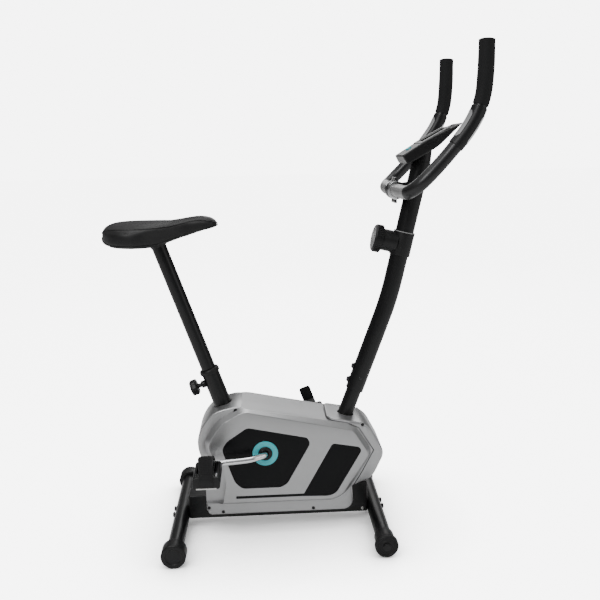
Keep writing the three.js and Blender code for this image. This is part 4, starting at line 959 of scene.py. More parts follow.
# ---------------------------------------------------------------- the casing
@dataclass
class Casing:
    """Two silver shells with bevelled raised sides, the front cover, dark insets and turquoise rings."""

    shop: Workshop
    half: float = 58.0
    face: float = 75.0
    wall: float = 3.0
    crank_z: float = 212.0
    ring_outer: float = 31.0
    ring_inner: float = 13.0
    joint: float = 2.2
    clear: float = 95.0

    # Outlines in X and Z from the crank axis and the floor, each corner with its rounding.
    RAISED = [(-112, 86, 8), (166, 86, 16), (190, 100, 10), (253, 200, 12), (214, 262, 12), (-50, 319, 14),
              (-108, 287, 16), (-137, 240, 14), (-134, 214, 12), (-106, 176, 16), (-101, 134, 20),
              (-107, 106, 8)]
    HEEL = [(-170, 78, 0), (-108, 78, 0), (-103, 106, 0), (-97, 134, 0), (-102, 176, 0), (-131, 214, 0),
            (-148, 190, 0), (-170, 184, 0)]
    INSETS = {"rear": [(-58, 122, 8), (36, 122, 8), (52, 131, 8), (110, 233, 10), (103, 248, 6), (-42, 279, 8),
                       (-94, 244, 10), (-105, 224, 10), (-76, 138, 10)],
              "front": [(-75, 96, 2), (89, 96, 0), (154, 94, 10), (172, 101, 10), (235, 209, 7), (230, 219, 6),
                        (164, 231, 8), (92, 103, 2), (-75, 103, 2)]}
    SCREWS = [(-69, 318), (-109, 54), (115.5, 54), (-144, 66)]
    COVER_SCREWS = [(240, 269)]

    @staticmethod
    def top(x: float) -> float:
        """The casing's upper edge, falling towards the front."""
        return 328 - 0.195 * (x + 67)

    def outer(self) -> list[Triple]:
        """The base outline."""
        return [(-142, 47, 14), (200, 47, 12), (216, 62, 12), (213, 109, 4), (262, 130, 20), (292, 194, 18),
                (260, 254, 24), (240, self.top(240), 22), (-67, 328, 14), (-121, 316, 30), (-150, 284, 30),
                (-165, 246, 24), (-162, 212, 24), (-150, 184, 16), (-150, 60, 12)]

    def seam(self) -> list[Triple]:
        """The zone that belongs to the front cover."""
        return [(150, 330, 0), (150, self.top(150) - 2, 0), (206, self.top(206) - 2, 0), (230, 261, 0),
                (266, 202, 0), (232, 138, 0), (214, 110, 0), (214, 90, 0), (330, 90, 0), (330, 330, 0)]

    def build(self) -> None:
        """Builds the shells and all that lies on them."""
        self.shells()
        self.cover()
        for side in Side:
            self.insets(side)
            self.hub(side)
            self.shop.screws(f"shell_screws_{side.word}", [
                (self.shop.at(x, side.value * (self.half - 0.6), z), side.out)
                for x, z in self.SCREWS + self.COVER_SCREWS], "black_plastic")

    def sinks(self, side: Side, places: Sequence[Pair]) -> list[Thing]:
        """The recesses that the screw heads sit in."""
        y0, y1 = side.value * (self.half - 1.2), side.value * (self.half + 4)
        return [self.shop.bar(x, z, y0, y1, 6.2, 32) for x, z in places]

    def core(self) -> Thing:
        """The room inside the walls."""
        half = self.half - self.wall
        return self.shop.slab(shrunk(self.outer(), self.wall), -half, half)

    def opened(self, target: Thing) -> Thing:
        """Opens the walls for the tubes, the beam and the crank."""
        shop, seat, mast = self.shop, self.shop.seat, self.shop.mast
        return cut(
            target, rod(seat.point(40), seat.point(SEAT_TUBE_LENGTH), 23.7),
            rod(mast.point(40), mast.point(300), 20.9),
            *(shop.box(xs, (-25.3, 25.3), (-5, top))
              for xs, top in (((-FAR, FAR), 62.3), ((-FAR, -131.7), 84.3), ((196.7, FAR), 104.3))),
            shop.bar(0, self.crank_z, -self.clear, self.clear, self.ring_inner + 1))

    def zone(self, gap: float) -> Thing:
        """The front cover's zone, with the tongue's rear corners rounded in plan.

        Args:
            gap: how far the zone is drawn in, so that the cover leaves a visible joint.

        Returns:
            The zone as a solid.
        """
        side, wide = self.half + 0.6 - gap, self.clear
        edge = [(340, wide, 0), (206 + gap, wide, 0), (206 + gap, side, 0), (150 + gap, side, 24)]
        plan = outline([(x, -y, r) for x, y, r in reversed(edge)] + edge, 10)
        prism = loft([[self.shop.at(x, y, z) for x, y in plan] for z in (60, 345)])
        return keep(self.shop.slab(shrunk(self.seam(), gap), -wide, wide, steps=2), prism)

    def volume(self) -> Thing:
        """The shells' outer volume: a soft-edged base and one raised face on each side."""
        base = self.shop.slab(self.outer(), -self.half, self.half, edge=4)
        for way in (side.value for side in Side):
            wide = self.shop.slab(self.outer(), way * (self.half - 9), way * (self.face + 1))
            raised = loft([[self.shop.at(x, way * y, z) for x, z in outline(shrunk(self.RAISED, -grow), 8)]
                           for grow, y in ((11, self.half - 8), (11, self.half), (1.1, 73.3), (0.4, 74.35),
                                           (-0.4, 74.8), (-1.4, self.face))])
            join(base, keep(raised, wide))
        return base

    def shells(self) -> None:
        """Hollows the volume, opens it and parts it in the mid-plane."""
        shop, shell = self.shop, self.volume()
        for side in Side:
            way = side.value
            cut(shell, shop.slab(self.HEEL, way * 48, way * (self.face + 4)),
                *(shop.slab(corners, way * (self.face - 1.6), way * (self.face + 2))
                  for corners in self.INSETS.values()), *self.sinks(side, self.SCREWS))
        cut(shell, self.zone(0.0))
        heels = (shop.slab(shrunk(self.HEEL, -self.wall), side.value * 45, side.value * 80)
                 for side in Side)
        self.opened(cut(shell, cut(self.core(), *heels)))
        for side in Side:
            half = link_new(shell.data.copy())
            keep(half, shop.box((-FAR, FAR), (side.value * 0.15, side.value * 120), (-10, 420)))
            shop.place(smooth_by(half, 28), "silver_casing", "frame", f"shell_{side.word}")
        bpy.data.objects.remove(shell)

    def cover(self) -> None:
        """The separate front cover with its tongue round the mast."""
        corners = [(152, self.top(152) - 20, 0), (210, 108, 0), (264, 129, 20), (295, 194, 18), (262, 257, 24),
                   (242, self.top(242) + 6, 20), (152, self.top(152) + 6, 5)]
        cover = keep(self.shop.slab(corners, -self.half, self.half, edge=5), self.zone(self.joint))
        cut(cover, self.core(),
            *(sink for side in Side for sink in self.sinks(side, self.COVER_SCREWS)))
        self.shop.place(smooth_by(self.opened(cover), 28), "silver_casing", "frame", "front_cover")

    def insets(self, side: Side) -> None:
        """The two dark panels in a raised face."""
        shop, way = self.shop, side.value
        for word, corners in self.INSETS.items():
            plate = shop.slab(shrunk(corners, GAP), way * (self.face - 1.3), way * (self.face - GAP), edge=0.5,
                              both=False)
            if word == "rear":
                cut(plate, shop.bar(0, self.crank_z, way * 70, way * 80, self.ring_outer + GAP, 96))
            shop.place(smooth_by(plate, 28), "dark_inset", "frame", f"inset_{word}_{side.word}")

    def hub(self, side: Side) -> None:
        """The turquoise ring round the crank, with a black hub cap in its middle that also stands in for the
        painted shade of the hub's opening.
        """
        shop, inner, outer = self.shop, self.ring_inner, self.ring_outer
        origin = shop.at(0, side.value * (self.face - 1.3), self.crank_z)
        ring = fillet([(inner, 0), (outer, 0), (outer, 3.2), (28.2, 4.3), (19, 3.3), (17.5, 2.2),
                       (inner, 2.2)], 0.8, closed=True)
        shop.place(turned(ring, origin, side.out, 96, loop=True), "turquoise_ring", "frame",
                   f"hub_ring_{side.word}")
        # Painted shade: a black plastic cap that fills the hub's opening, partly a real cap and partly standing
        # in for the shade inside it.
        cap = fillet([(8.6, -12), (12.7, -12), (12.7, 2.4), (17.2, 2.4), (17.2, 3.1), (15.5, 4.2),
                      (8.6, 4.2)], 0.7, closed=True)
        shop.place(turned(cap, origin, side.out, loop=True), "black_plastic", "frame",
                   name=f"hub_cap_{side.word}")


# ---------------------------------------------------------------- crank, pedals and straps
@dataclass
class Drive:
    """The one-piece crank, the pedals with their straps, and the hidden belt drive."""

    shop: Workshop
    height: float = 212.0
    length: float = 134.0
    droop: float = 3.5
    arm_plane: float = 106.0
    rise: float = 15.0
    inner: float = 116.5
    outer: float = 210.5
    left_tilt: float = -20.0
    spindle_bore: float = 5.3

    def end(self, side: Side) -> Pair:
        """The place (x, z) of a pedal's axis."""
        reach, turn = side.value * self.length, math.radians(self.droop)
        return reach * math.cos(turn), self.height + reach * math.sin(turn)

    def build(self) -> None:
        """Builds the crank and both pedals."""
        self.crank()
        for side in Side:
            self.pedal(side)
            self.strap(side)
        self.shop.cad("black_plastic", "drive_pulley", "idler_pulley")
        self.shop.cad("black_rubber", "belt")
        self.shop.cad("zinc_steel", "flywheel", "magnet_bracket", "pedal_spindle_right", "pedal_spindle_left")

    def crank(self) -> None:
        """A forged bar: an arm, a double bend into the hub, and the same on the other side."""
        shop = self.shop
        stations = ((134, 106), (80.4, 106), (36, 103), (16.2, 94), (3, 86), (0, 74), (0, 58))
        halves = []
        for side in Side:
            x, z = self.end(side)
            unit = Vector((x, z - self.height)).normalized()
            halves.append([shop.at(unit.x * s, side.value * y, self.height + unit.y * s)
                           for s, y in stations])
        bar = sweep(arc([*halves[0], shop.at(0, 0, self.height), *reversed(halves[1])], 8), 7.5, 32)
        for side in Side:
            way, plane = side.value, self.arm_plane
            join(bar, shop.bar(*self.end(side), way * (plane - 8), way * (plane + 8), 11, soft=1.4))
            cut(bar, shop.bar(*self.end(side), way * 90, way * 120, self.spindle_bore, 32))
        shop.place(smooth_by(bar, 35), "bright_chrome", "crankset", "crank")

    def fit(self, side: Side, obj: Thing, finish: str, *nodes: str, name: str = "") -> None:
        """Places a piece on a pedal, the left one's turned to that pedal's angle at rest."""
        if side is Side.LEFT:
            x, z = self.end(side)
            place = self.shop.at(x, 0, z)
            turn = Matrix.Rotation(math.radians(self.left_tilt), 4, "Y")
            obj.data.transform(Matrix.Translation(place) @ turn @ Matrix.Translation(-place))
        self.shop.place(obj, finish, f"pedal_{side.word}_body", *nodes, name=name)

    def pedal(self, side: Side) -> None:
        """A hollow-looking body with two slots, ridged treads and a pale reflector."""
        shop, way = self.shop, side.value
        x, z = self.end(side)
        corners = [(x - 31, z - 15, 7), (x + 31, z - 15, 7), (x + 31, z + 12, 7), (x, z + 15, 20),
                   (x - 31, z + 12, 7)]
        body = shop.slab(corners, way * self.inner, way * self.outer, edge=2.6)
        cut(body, shop.bar(x, z, way * (self.inner - 2), way * (self.outer - 6), self.spindle_bore, 32),
            *(shop.box((middle - 4, middle + 4), (way * (self.inner + 8), way * (self.outer - 8)),
                       (z - 20, z + 20), 2) for middle in (x - 20, x + 20)))
        self.fit(side, smooth_by(body), "black_plastic", f"pedal_{side.word}")
        spots = [(shop.at(x + row, way * (self.inner + 12 + 11.5 * k), z + level), facing, FRONT)
                 for row in (-11, -7, 7, 11) for k in range(7)
                 for level, facing in ((13.9, UP), (-14.9, -UP))]
        self.fit(side, shop.ridges((1.8, 9.0, 1.6), spots, "black_rubber"), "black_rubber",
                 name=f"pedal_treads_{side.word}")
        strip = shop.box((x - 23, x + 23), (way * (self.outer - 1.5), way * (self.outer + 0.9)),
                         (z - 14.8, z - 11.8), 0.7)
        self.fit(side, strip, "reflector", name=f"pedal_reflector_{side.word}")

    def strap(self, side: Side) -> None:
        """A strap that arches over the foot and stands up in a ribbed tail outside the pedal."""
        shop, way, inner = self.shop, side.value, self.inner
        x, z = self.end(side)
        half, thick, face = 15.5, 3.0, self.outer + GAP
        top = z + self.rise + GAP
        knots = [(inner + 4, top + 1.5), (inner + 16, top + 13), (inner + 34, z + 38), (inner + 58, z + 36),
                 (inner + 80, top + 15), (face + 1.5, z + 13), (face + 2.1, z - 6)]
        strap = self.ribbon(arc([shop.at(x, way * y, h) for y, h in knots], 6), half, thick)
        cut(strap, shop.box((x - 60, x + 60), (way * (inner - 2), way * (self.outer + 0.29)),
                            (z - 40, top)))
        tail = [(x - half, z - 6, 3), (x + half, z - 6, 3), (x + half, z + 66, 8),
                (x - half, z + 66, 8)]
        join(strap, shop.slab(tail, way * face, way * (face + thick), edge=0.9))
        self.fit(side, smooth_by(strap), "black_rubber", f"pedal_strap_{side.word}")
        spots = [(shop.at(x, way * (face + thick + 0.2), z + 22 + 4.2 * k), side.out, FRONT)
                 for k in range(10)]
        self.fit(side, shop.ridges((2 * half - 9, 2.1, 1.0), spots, "black_rubber"), "black_rubber",
                 name=f"strap_ribs_{side.word}")

    @staticmethod
    def ribbon(path: Sequence[Vector], half: float, thick: float) -> Thing:
        """A band of rounded section along a path that stays at one X."""
        turns = [(cx, cn, math.radians(start + a))
                 for cx, cn, start in ((1, 1, 0), (-1, 1, 90), (-1, -1, 180), (1, -1, 270))
                 for a in (0, 30, 60, 90)]
        return loft([[place + FRONT * (cx * (half - 1) + math.cos(t)) * MM
                      + Vector((0, -ahead.z, ahead.y)) * (cn * (thick / 2 - 1) + math.sin(t)) * MM
                      for cx, cn, t in turns] for place, ahead in zip(path, directions(path))])


# ---------------------------------------------------------------- seat post, pop pin and saddle
def ease(share: float, start: float, span: float) -> float:
    """A soft step from 0 to 1 that begins at a start and takes a span."""
    u = min(1.0, max(0.0, (share - start) / span))
    return u * u * (3 - 2 * u)


def arch(share: float, power: int = 2) -> float:
    """The height of a round end at a share of its reach."""
    return math.sqrt(max(0.0, 1 - share ** power))


def to_ends(share: float) -> float:
    """An even share drawn closer to both ends."""
    return 0.5 - 0.5 * math.cos(math.pi * share)


@dataclass
class Seat:
    """The drilled seat post, its collar and knob, and the padded saddle on its pan."""

    shop: Workshop
    rear: float = -366.0
    nose: float = -96.0
    half_width: float = 98.0
    nose_half: float = 26.0
    top: float = 775.0
    bottom: float = 718.0
    voxel: float = 0.005
    swell: float = 0.0025
    frames: int = 20

    def build(self) -> None:
        """Builds the seat's pieces."""
        self.post()
        self.collar()
        self.knob()
        self.pan()
        self.pad()

    def post(self) -> None:
        """The post, with one row of adjustment holes facing the rear."""
        line = self.shop.seat
        post = sweep(line.run(SEAT_TUBE_LENGTH - 125, POST_TOP, 20), 17.5, 56, bore=15.7)
        for i in range(9):
            s = PIN_STATION + (i - 2) * 25
            cut(post, rod(line.point(s, 5), line.point(s, 30), 4.5, 28))
        self.shop.place(smooth_by(post), "black_powder_coat", "seat_body", "seat_post")

    def collar(self) -> None:
        """The bushing that guides the post at the tube's mouth."""
        line = self.shop.seat
        profile = fillet([(17.8, -30), (19.4, -30), (19.4, GAP), (24.5, GAP), (24.5, 7.5), (22.6, 11.3),
                          (17.8, 11.3)], 1.3, closed=True)
        collar = turned(profile, line.point(SEAT_TUBE_LENGTH), line.along, 72, loop=True)
        cut(collar, line.rod(PIN_STATION, 0, 40, PIN_BORE))
        self.shop.place(smooth_by(collar), "black_plastic", "frame", "seat_collar")

    def knob(self) -> None:
        """A six-lobed knob with rolled edges and a turned cap, on its shank."""
        line, sides = self.shop.seat, 120
        origin, (side, up) = line.point(PIN_STATION), frame_of(line.back)
        rings = []
        for shrink, depth in ((5, 41), (2.2, 41.4), (0.7, 42.6), (0, 44.5), (0, 54.5), (0.7, 56.8), (2.4, 58.3),
                              (5.5, 58.9), (12, 58.4)):
            ring = []
            for t in (2 * math.pi * i / sides for i in range(sides)):
                lobe = 0.11 * (0.5 + 0.5 * math.cos(6 * t)) * (1 if shrink < 6 else 0.3)
                radius = (20 - shrink) * (1 - lobe)
                ring.append(origin + (line.back * depth + side * radius * math.cos(t)
                                      + up * radius * math.sin(t)) * MM)
            rings.append(ring)
        knob = join(loft(rings), line.rod(PIN_STATION, 18.1, 42, 5.5))
        self.shop.place(smooth_by(knob, 35), "black_plastic", "pin_body", "pin_knob")

    def half(self, t: float, margin: float = 0.0) -> float:
        """Half the saddle's width at a share of its length from the rear."""
        rear = arch((t - 0.3) / 0.3) if t < 0.3 else 1.0
        nose = arch((t - 0.9) / 0.1) if t > 0.9 else 1.0
        width = self.half_width + (self.nose_half - self.half_width) * ease(t, 0.3, 0.48)
        return (width - margin) * rear * nose

    def under(self, x: float) -> float:
        """Height of the saddle's underside: level at the rear, rising to the nose."""
        return self.bottom + 0.3 * max(0.0, x + 235)

    def plan(self, margin: float, lift: float, steps: int = 48) -> list[Vector]:
        """The saddle's plan outline, shrunk by a margin and lifted from the underside."""
        side = [(self.rear + margin + t * (self.nose - self.rear - 2 * margin), self.half(t, margin))
                for t in (to_ends(i / steps) for i in range(steps + 1))]
        return [self.shop.at(x, y, self.under(x) + lift)
                for x, y in [(x, -y) for x, y in side] + side[-2:0:-1]]

    def pan(self) -> None:
        """The moulded base under the pad, with the socket that takes the post."""
        line = self.shop.seat
        pan = loft([self.plan(margin, lift)
                    for margin, lift in ((16.5, 1.5), (14.6, 2.1), (14, 3.6), (14, 9))])
        socket = turned(fillet([(0.01, -9), (18.5, -9), (19.4, -6), (22, 8), (0.01, 8)], 0.8),
                        line.point(POST_TOP), line.along, 56)
        cut(join(pan, socket), rod(line.point(POST_TOP - 24), line.point(POST_TOP + GAP), 17.8, 56))
        self.shop.place(smooth_by(pan, 35), "black_plastic", "seat_body", "saddle_pan")

    def surface(self, t: float, turn: float) -> Vector:
        """A place on the pad's skin.

        Args:
            t: share of the length from the rear.
            turn: angle round the section; 0 is the left edge, a quarter turn the crown.

        Returns:
            The place in metres.
        """
        share, lift = math.cos(turn), math.sin(turn)
        square = math.copysign(abs(share) ** 0.72, share)
        x = self.rear + t * (self.nose - self.rear)
        under = self.under(x)
        crown = self.top + 11 * ease(t, 0.55, 0.33) - 5 * square ** 2
        middle = under + (0.5 - 0.35 * ease(t, 0.8, 0.2)) * (crown - under)
        rise = lift ** 0.62 * (crown - middle) if lift > 0 else -(abs(lift) ** 0.3) * (middle - under)
        return self.shop.at(x, square * self.half(t), middle + rise * arch(2 * t - 1, 8))

    def pad(self) -> None:
        """The stuffed cover: shaped, filled by a short cloth pass, then stitched round its lower edge."""
        line, stations, around = self.shop.seat, 72, 96
        pad = loft([[self.surface(to_ends(0.012 + 0.976 * i / stations), 2 * math.pi * k / around)
                     for k in range(around)] for i in range(stations + 1)], angle=60)
        cut(pad, loft([self.plan(13.7, lift) for lift in (-12, 9.3)]),
            rod(line.point(POST_TOP - 21), line.point(POST_TOP + 8.6), 22.8, 56))
        pad = self.filled(pad)
        self.shop.place(smooth_by(pad, 50), "saddle_vinyl", "seat_body", "saddle_pad")
        for name, turn, radius in (("saddle_piping", -0.32, 1.5), ("saddle_seam", 0.62, 0.9)):
            shares = [to_ends(0.03 + 0.94 * (i / 160)) for i in range(161)]
            left = [self.surface(t, turn) for t in shares]
            right = [self.surface(t, math.pi - turn) for t in reversed(shares)]
            self.shop.place(self.bead(left + right, radius), "saddle_vinyl", "seat_body", name=name)

    @staticmethod
    def bead(ring: Sequence[Vector], radius: float, sides: int = 10) -> Thing:
        """A closed round bead along a loop of places."""
        rows = []
        for i, place in enumerate(ring):
            ahead = (ring[(i + 1) % len(ring)] - ring[i - 1]).normalized()
            across = ahead.cross(UP).normalized()
            rows.append(circle(place, (across, across.cross(ahead)), radius, sides))
        return loft(rows, loop=True)

    def filled(self, pad: Thing) -> Thing:
        """Lets the cover swell over its filling in a short cloth run.

        Args:
            pad: the shaped pad.

        Returns:
            The pad, with the swell added, held within the frame's size.
        """
        remesh = pad.modifiers.new("even", "REMESH")
        remesh.mode, remesh.voxel_size = "VOXEL", self.voxel
        settle(pad)
        rest = [v.co.copy() for v in pad.data.vertices]
        held = pad.vertex_groups.new(name="held")
        for vert in pad.data.vertices:
            above = (vert.co.z - self.under(vert.co.x / MM - self.shop.shift) * MM) / MM
            held.add([vert.index], 1.0 if above < 14 else max(0.0, 1 - (above - 14) / 10), "REPLACE")
        cloth = pad.modifiers.new("swell", "CLOTH")
        cloth.settings.vertex_group_mass = "held"
        cloth.settings.use_pressure, cloth.settings.uniform_pressure_force = True, 4.0
        cloth.settings.effector_weights.gravity = 0.0
        cloth.settings.mass, cloth.settings.quality = 0.25, 6
        cloth.settings.tension_stiffness = cloth.settings.compression_stiffness = 40.0
        cloth.point_cache.frame_start, cloth.point_cache.frame_end = 1, self.frames
        scene = bpy.context.scene
        for frame in range(1, self.frames + 1):
            scene.frame_set(frame)
        swollen = bpy.data.meshes.new_from_object(pad.evaluated_get(bpy.context.evaluated_depsgraph_get()))
        scene.frame_set(1)
        pad.modifiers.clear()
        pad.vertex_groups.clear()
        for vert, start, moved in zip(pad.data.vertices, rest, swollen.vertices):
            change = moved.co - start
            vert.co = start + change * min(1.0, self.swell / max(change.length, 1e-9))
        bpy.data.meshes.remove(swollen)
        finer = pad.modifiers.new("soft", "SUBSURF")
        finer.levels = finer.render_levels = 1
        return settle(pad)


# ---------------------------------------------------------------- mast, tension control and handlebar
@dataclass
class MastGroup:
    """The mast post with its bolts, the bar's clamp, the tension housing and its dial."""

    shop: Workshop
    bar_x: float = 328.0
    bar_z: float = 834.0
    dial_z: float = 706.0
    bar_room: float = 15.7
    clamp_radius: float = 21.0
    clamp_half: float = 23.0
    room: float = 60.0
    ridge_count: int = 40

    def build(self) -> None:
        """Builds the pieces on the mast."""
        self.post()
        self.clamp()
        self.housing()
        self.dial()
        self.shop.screws("mast_side_bolts", [(self.shop.mast.point(335) + side.out * 21.8 * MM, side.out)
                                             for side in Side], "dark_zinc")
        self.shop.cad("dark_zinc", "mast_bolt_1", "mast_bolt_2")

    def across(self, half: float, radius: float, soft: float = 0.0) -> Thing:
        """A round bar on the handlebar's axis."""
        return self.shop.bar(self.bar_x, self.bar_z, -half, half, radius, soft=soft)

    def before(self, x0: float, x1: float) -> Thing:
        """A large box round the handlebar's axis, between two distances along X."""
        x, z, wide = self.bar_x, self.bar_z, self.room
        return self.shop.box((x + x0, x + x1), (-wide, wide), (z - wide, z + wide))

    def post(self) -> None:
        """The bent post, with the saddle-shaped seat that the bar lies in."""
        shop, path = self.shop, self.shop.mast_path.points()
        place, _along, back = shop.mast_path.at_height(self.bar_z)
        seat = join(rod(place + back * 17 * MM, shop.at(self.bar_x, 0, self.bar_z), 15),
                    self.across(self.clamp_half, self.clamp_radius, soft=1))
        cut(seat, self.before(-self.room, 1), rod(path[-9], path[-1], 20.5, 48))
        post = cut(join(sweep(path, 22, 64, bore=19.4), seat), self.across(self.room, self.bar_room))
        shop.place(smooth_by(post), "black_powder_coat", "frame", "mast_post")

    def clamp(self) -> None:
        """The clamp's cap, with a lug and a bolt above and below the bar, and a bright rim on each side."""
        shop, x, z, half = self.shop, self.bar_x, self.bar_z, self.clamp_half
        clamp = join(self.across(half, self.clamp_radius, soft=1.2),
                     *(shop.box((x - 5, x + 0.7), (-half, half), (z + end * 19, z + end * 30), 1.4)
                       for end in (-1, 1)))
        cut(clamp, self.across(self.room, self.bar_room), self.before(0.7, self.room))
        shop.place(smooth_by(clamp), "dark_zinc", "frame", "bar_clamp")
        for side in Side:
            rim = shop.bar(x, z, side.value * 20.9, side.value * 23.3, 21.8, soft=0.5)
            cut(rim, self.across(self.room, 15.9), self.before(0.7, self.room))
            shop.place(smooth_by(rim), "bright_chrome", "frame", name=f"clamp_rim_{side.word}")
        shop.screws("clamp_bolts", [(shop.at(x - 4.8, y, z + end * 25.5), -FRONT)
                                    for end in (-1, 1) for y in (-13, 13)])

    def housing(self) -> None:
        """The black housing of the tension control, with a pale trim line round its upper rim."""
        shop = self.shop
        place, along, back = shop.mast_path.at_height(self.dial_z)
        profile = fillet([(22.6, -29), (25.3, -29), (25.3, 29), (22.6, 29)], 1.1, closed=True)
        neck = turned(fillet([(0.01, 14), (26, 14), (26, 51.2), (0.01, 51.2)], 2.2), place, back)
        cut(neck, rod(place - along * 0.06, place + along * 0.06, 22.6, 64))
        sleeve = join(turned(profile, place, along, loop=True), neck)
        cut(sleeve, rod(place, place + back * 0.06, 8.3))
        shop.place(smooth_by(sleeve), "black_plastic", "frame", "tension_housing")
        trim = fillet([(22.8, 27.4), (25.9, 27.4), (25.9, 29.2), (22.8, 29.2)], 0.4, closed=True)
        shop.place(turned(trim, place, along, loop=True), "grey_plastic", "frame", name="housing_trim")

    def dial(self) -> None:
        """The dial: a ridged rim, a silver face with raised ticks, and its spigot."""
        shop = self.shop
        place, _along, back = shop.mast_path.at_height(self.dial_z)
        profile = fillet([(0.01, 25), (8, 25), (8, 51.5), (32.4, 51.5), (32.4, 68.5), (30, 71.5),
                          (0.01, 71.5)], 1.1)
        shop.place(turned(profile, place, back, 96), "black_plastic", "dial_body", "tension_dial")
        face = fillet([(0.01, 71.2), (28.5, 71.2), (28.5, 71.9), (27.5, 72.2), (9, 72.2), (8, 75),
                       (0.01, 75.6)], 0.5)
        shop.place(turned(face, place, back, 80), "grey_plastic", "dial_body", name="dial_face")
        side, up = frame_of(back)
        ways = [side * math.cos(t) + up * math.sin(t)
                for t in (2 * math.pi * k / self.ridge_count for k in range(self.ridge_count))]
        ridges = [(place + back * 60 * MM + way * 32.6 * MM, way, back) for way in ways]
        ticks = [(place + back * 72.3 * MM + way * 20.5 * MM, back, way) for way in ways[2:38:5]]
        for name, size, spots in (("dial_ridges", (14.5, 2.4, 1.8), ridges),
                                  ("dial_ticks", (6.0, 1.4, 0.7), ticks)):
            shop.place(shop.ridges(size, spots, "black_plastic"), "black_plastic", "dial_body", name=name)


@dataclass
class Handlebar:
    """The bent bar, the pulse sensors with chrome plates, and the foam grips."""

    shop: Workshop
    x: float = 328.0
    z: float = 834.0
    half: float = 170.0
    top_x: float = 488.0
    top_z: float = 1151.0
    radius: float = 15.4
    sleeve_radius: float = 17.2
    plate_ends: Pair = (0.585, 0.71)
    plate_steps: int = 24
    plate_turn: float = 48.0
    path: list[Vector] = field(default_factory=list)
    lengths: list[float] = field(default_factory=list)

    def build(self) -> None:
        """Builds the bar and what slips over it."""
        shares = ((0.3, 0, 0), (0.69, 0, 0), (0.91, 0.035, 0.013), (1, 0.15, 0.062), (1, 0.52, 0.255),
                  (1, 0.83, 0.46), (1, 0.96, 0.62), (1, 0.995, 0.79), (1, 1, 1))
        right, left = ([self.shop.at(self.x + f * (self.top_x - self.x), side.value * out * self.half,
                                     self.z + u * (self.top_z - self.z)) for out, f, u in shares]
                       for side in Side)
        self.path, self.lengths = arc([*reversed(right), *left], 24), [0.0]
        for a, b in zip(self.path, self.path[1:]):
            self.lengths.append(self.lengths[-1] + (b - a).length)
        self.shop.place(self.piece(0.006, 0.994, self.radius, 160, soft=1.5), "bar_two_tone",
                        "handlebar_body", "handlebar")
        for side in Side:
            self.sleeves(side)

    def on_arm(self, side: Side, part: float) -> float:
        """A share of the whole bar from a share of one arm."""
        return 0.5 + side.value * 0.5 * part

    def along(self, share: float) -> Vector:
        """The place at a share of the bar's length."""
        lengths = self.lengths
        want = share * lengths[-1]
        for i in range(1, len(lengths)):
            if lengths[i] >= want:
                part = (want - lengths[i - 1]) / max(1e-9, lengths[i] - lengths[i - 1])
                return self.path[i - 1].lerp(self.path[i], part)
        return self.path[-1].copy()

    def piece(self, start: float, end: float, radius: Radius, steps: int, bore: float = 0.0,
              soft: float = 0.0) -> Thing:
        """A round piece that follows the bar between two shares."""
        path = [self.along(start + (end - start) * k / steps) for k in range(steps + 1)]
        return sweep(path, radius, 40, bore, soft)

    def sleeves(self, side: Side) -> None:
        """One arm's sensor housing, its two chrome plates and its grip."""
        shop, word = self.shop, side.word
        housing = self.piece(self.on_arm(side, 0.555), self.on_arm(side, 0.735), self.sleeve_radius, 40,
                             bore=self.radius + GAP, soft=1.2)
        shop.place(housing, "black_plastic", "handlebar_body", f"pulse_sensor_{word}")
        for end, facing in (("front", 1), ("rear", -1)):
            shop.place(self.plate(side, facing), "bright_chrome", "handlebar_body",
                       name=f"pulse_plate_{end}_{word}")
        grip = self.piece(self.on_arm(side, 0.74), self.on_arm(side, 0.9995),
                          lambda s: self.sleeve_radius + 0.5 * math.sin(math.pi * min(1, max(0, s))) ** 2, 60,
                          soft=6.5)
        shop.place(grip, "black_foam", "handlebar_body", f"grip_{word}")

    def plate(self, side: Side, facing: int) -> Thing:
        """A chrome contact plate that wraps part of the sensor housing."""
        steps, rings, (start, end) = self.plate_steps, [], self.plate_ends
        for k in range(steps + 1):
            share = start + (end - start) * k / steps
            place, before, after = (self.along(self.on_arm(side, share + step))
                                    for step in (0, -0.01, 0.01))
            ahead = (after - before).normalized()
            out = Side.LEFT.out.cross(ahead).normalized() * facing
            if out.x * facing < 0:
                out = -out
            across = ahead.cross(out).normalized()
            full = math.radians(self.plate_turn)
            reach = full * math.sqrt(min(1.0, 0.45 + min(k, steps - k) / 3 * 0.55))
            turns = [reach * (2 * n / 12 - 1) for n in range(13)]
            rings.append([place + (out * math.cos(a) + across * math.sin(a)) * radius * MM
                          for radius, angles in ((17.75, turns), (17.0, turns[::-1])) for a in angles])
        return loft(rings, angle=40)


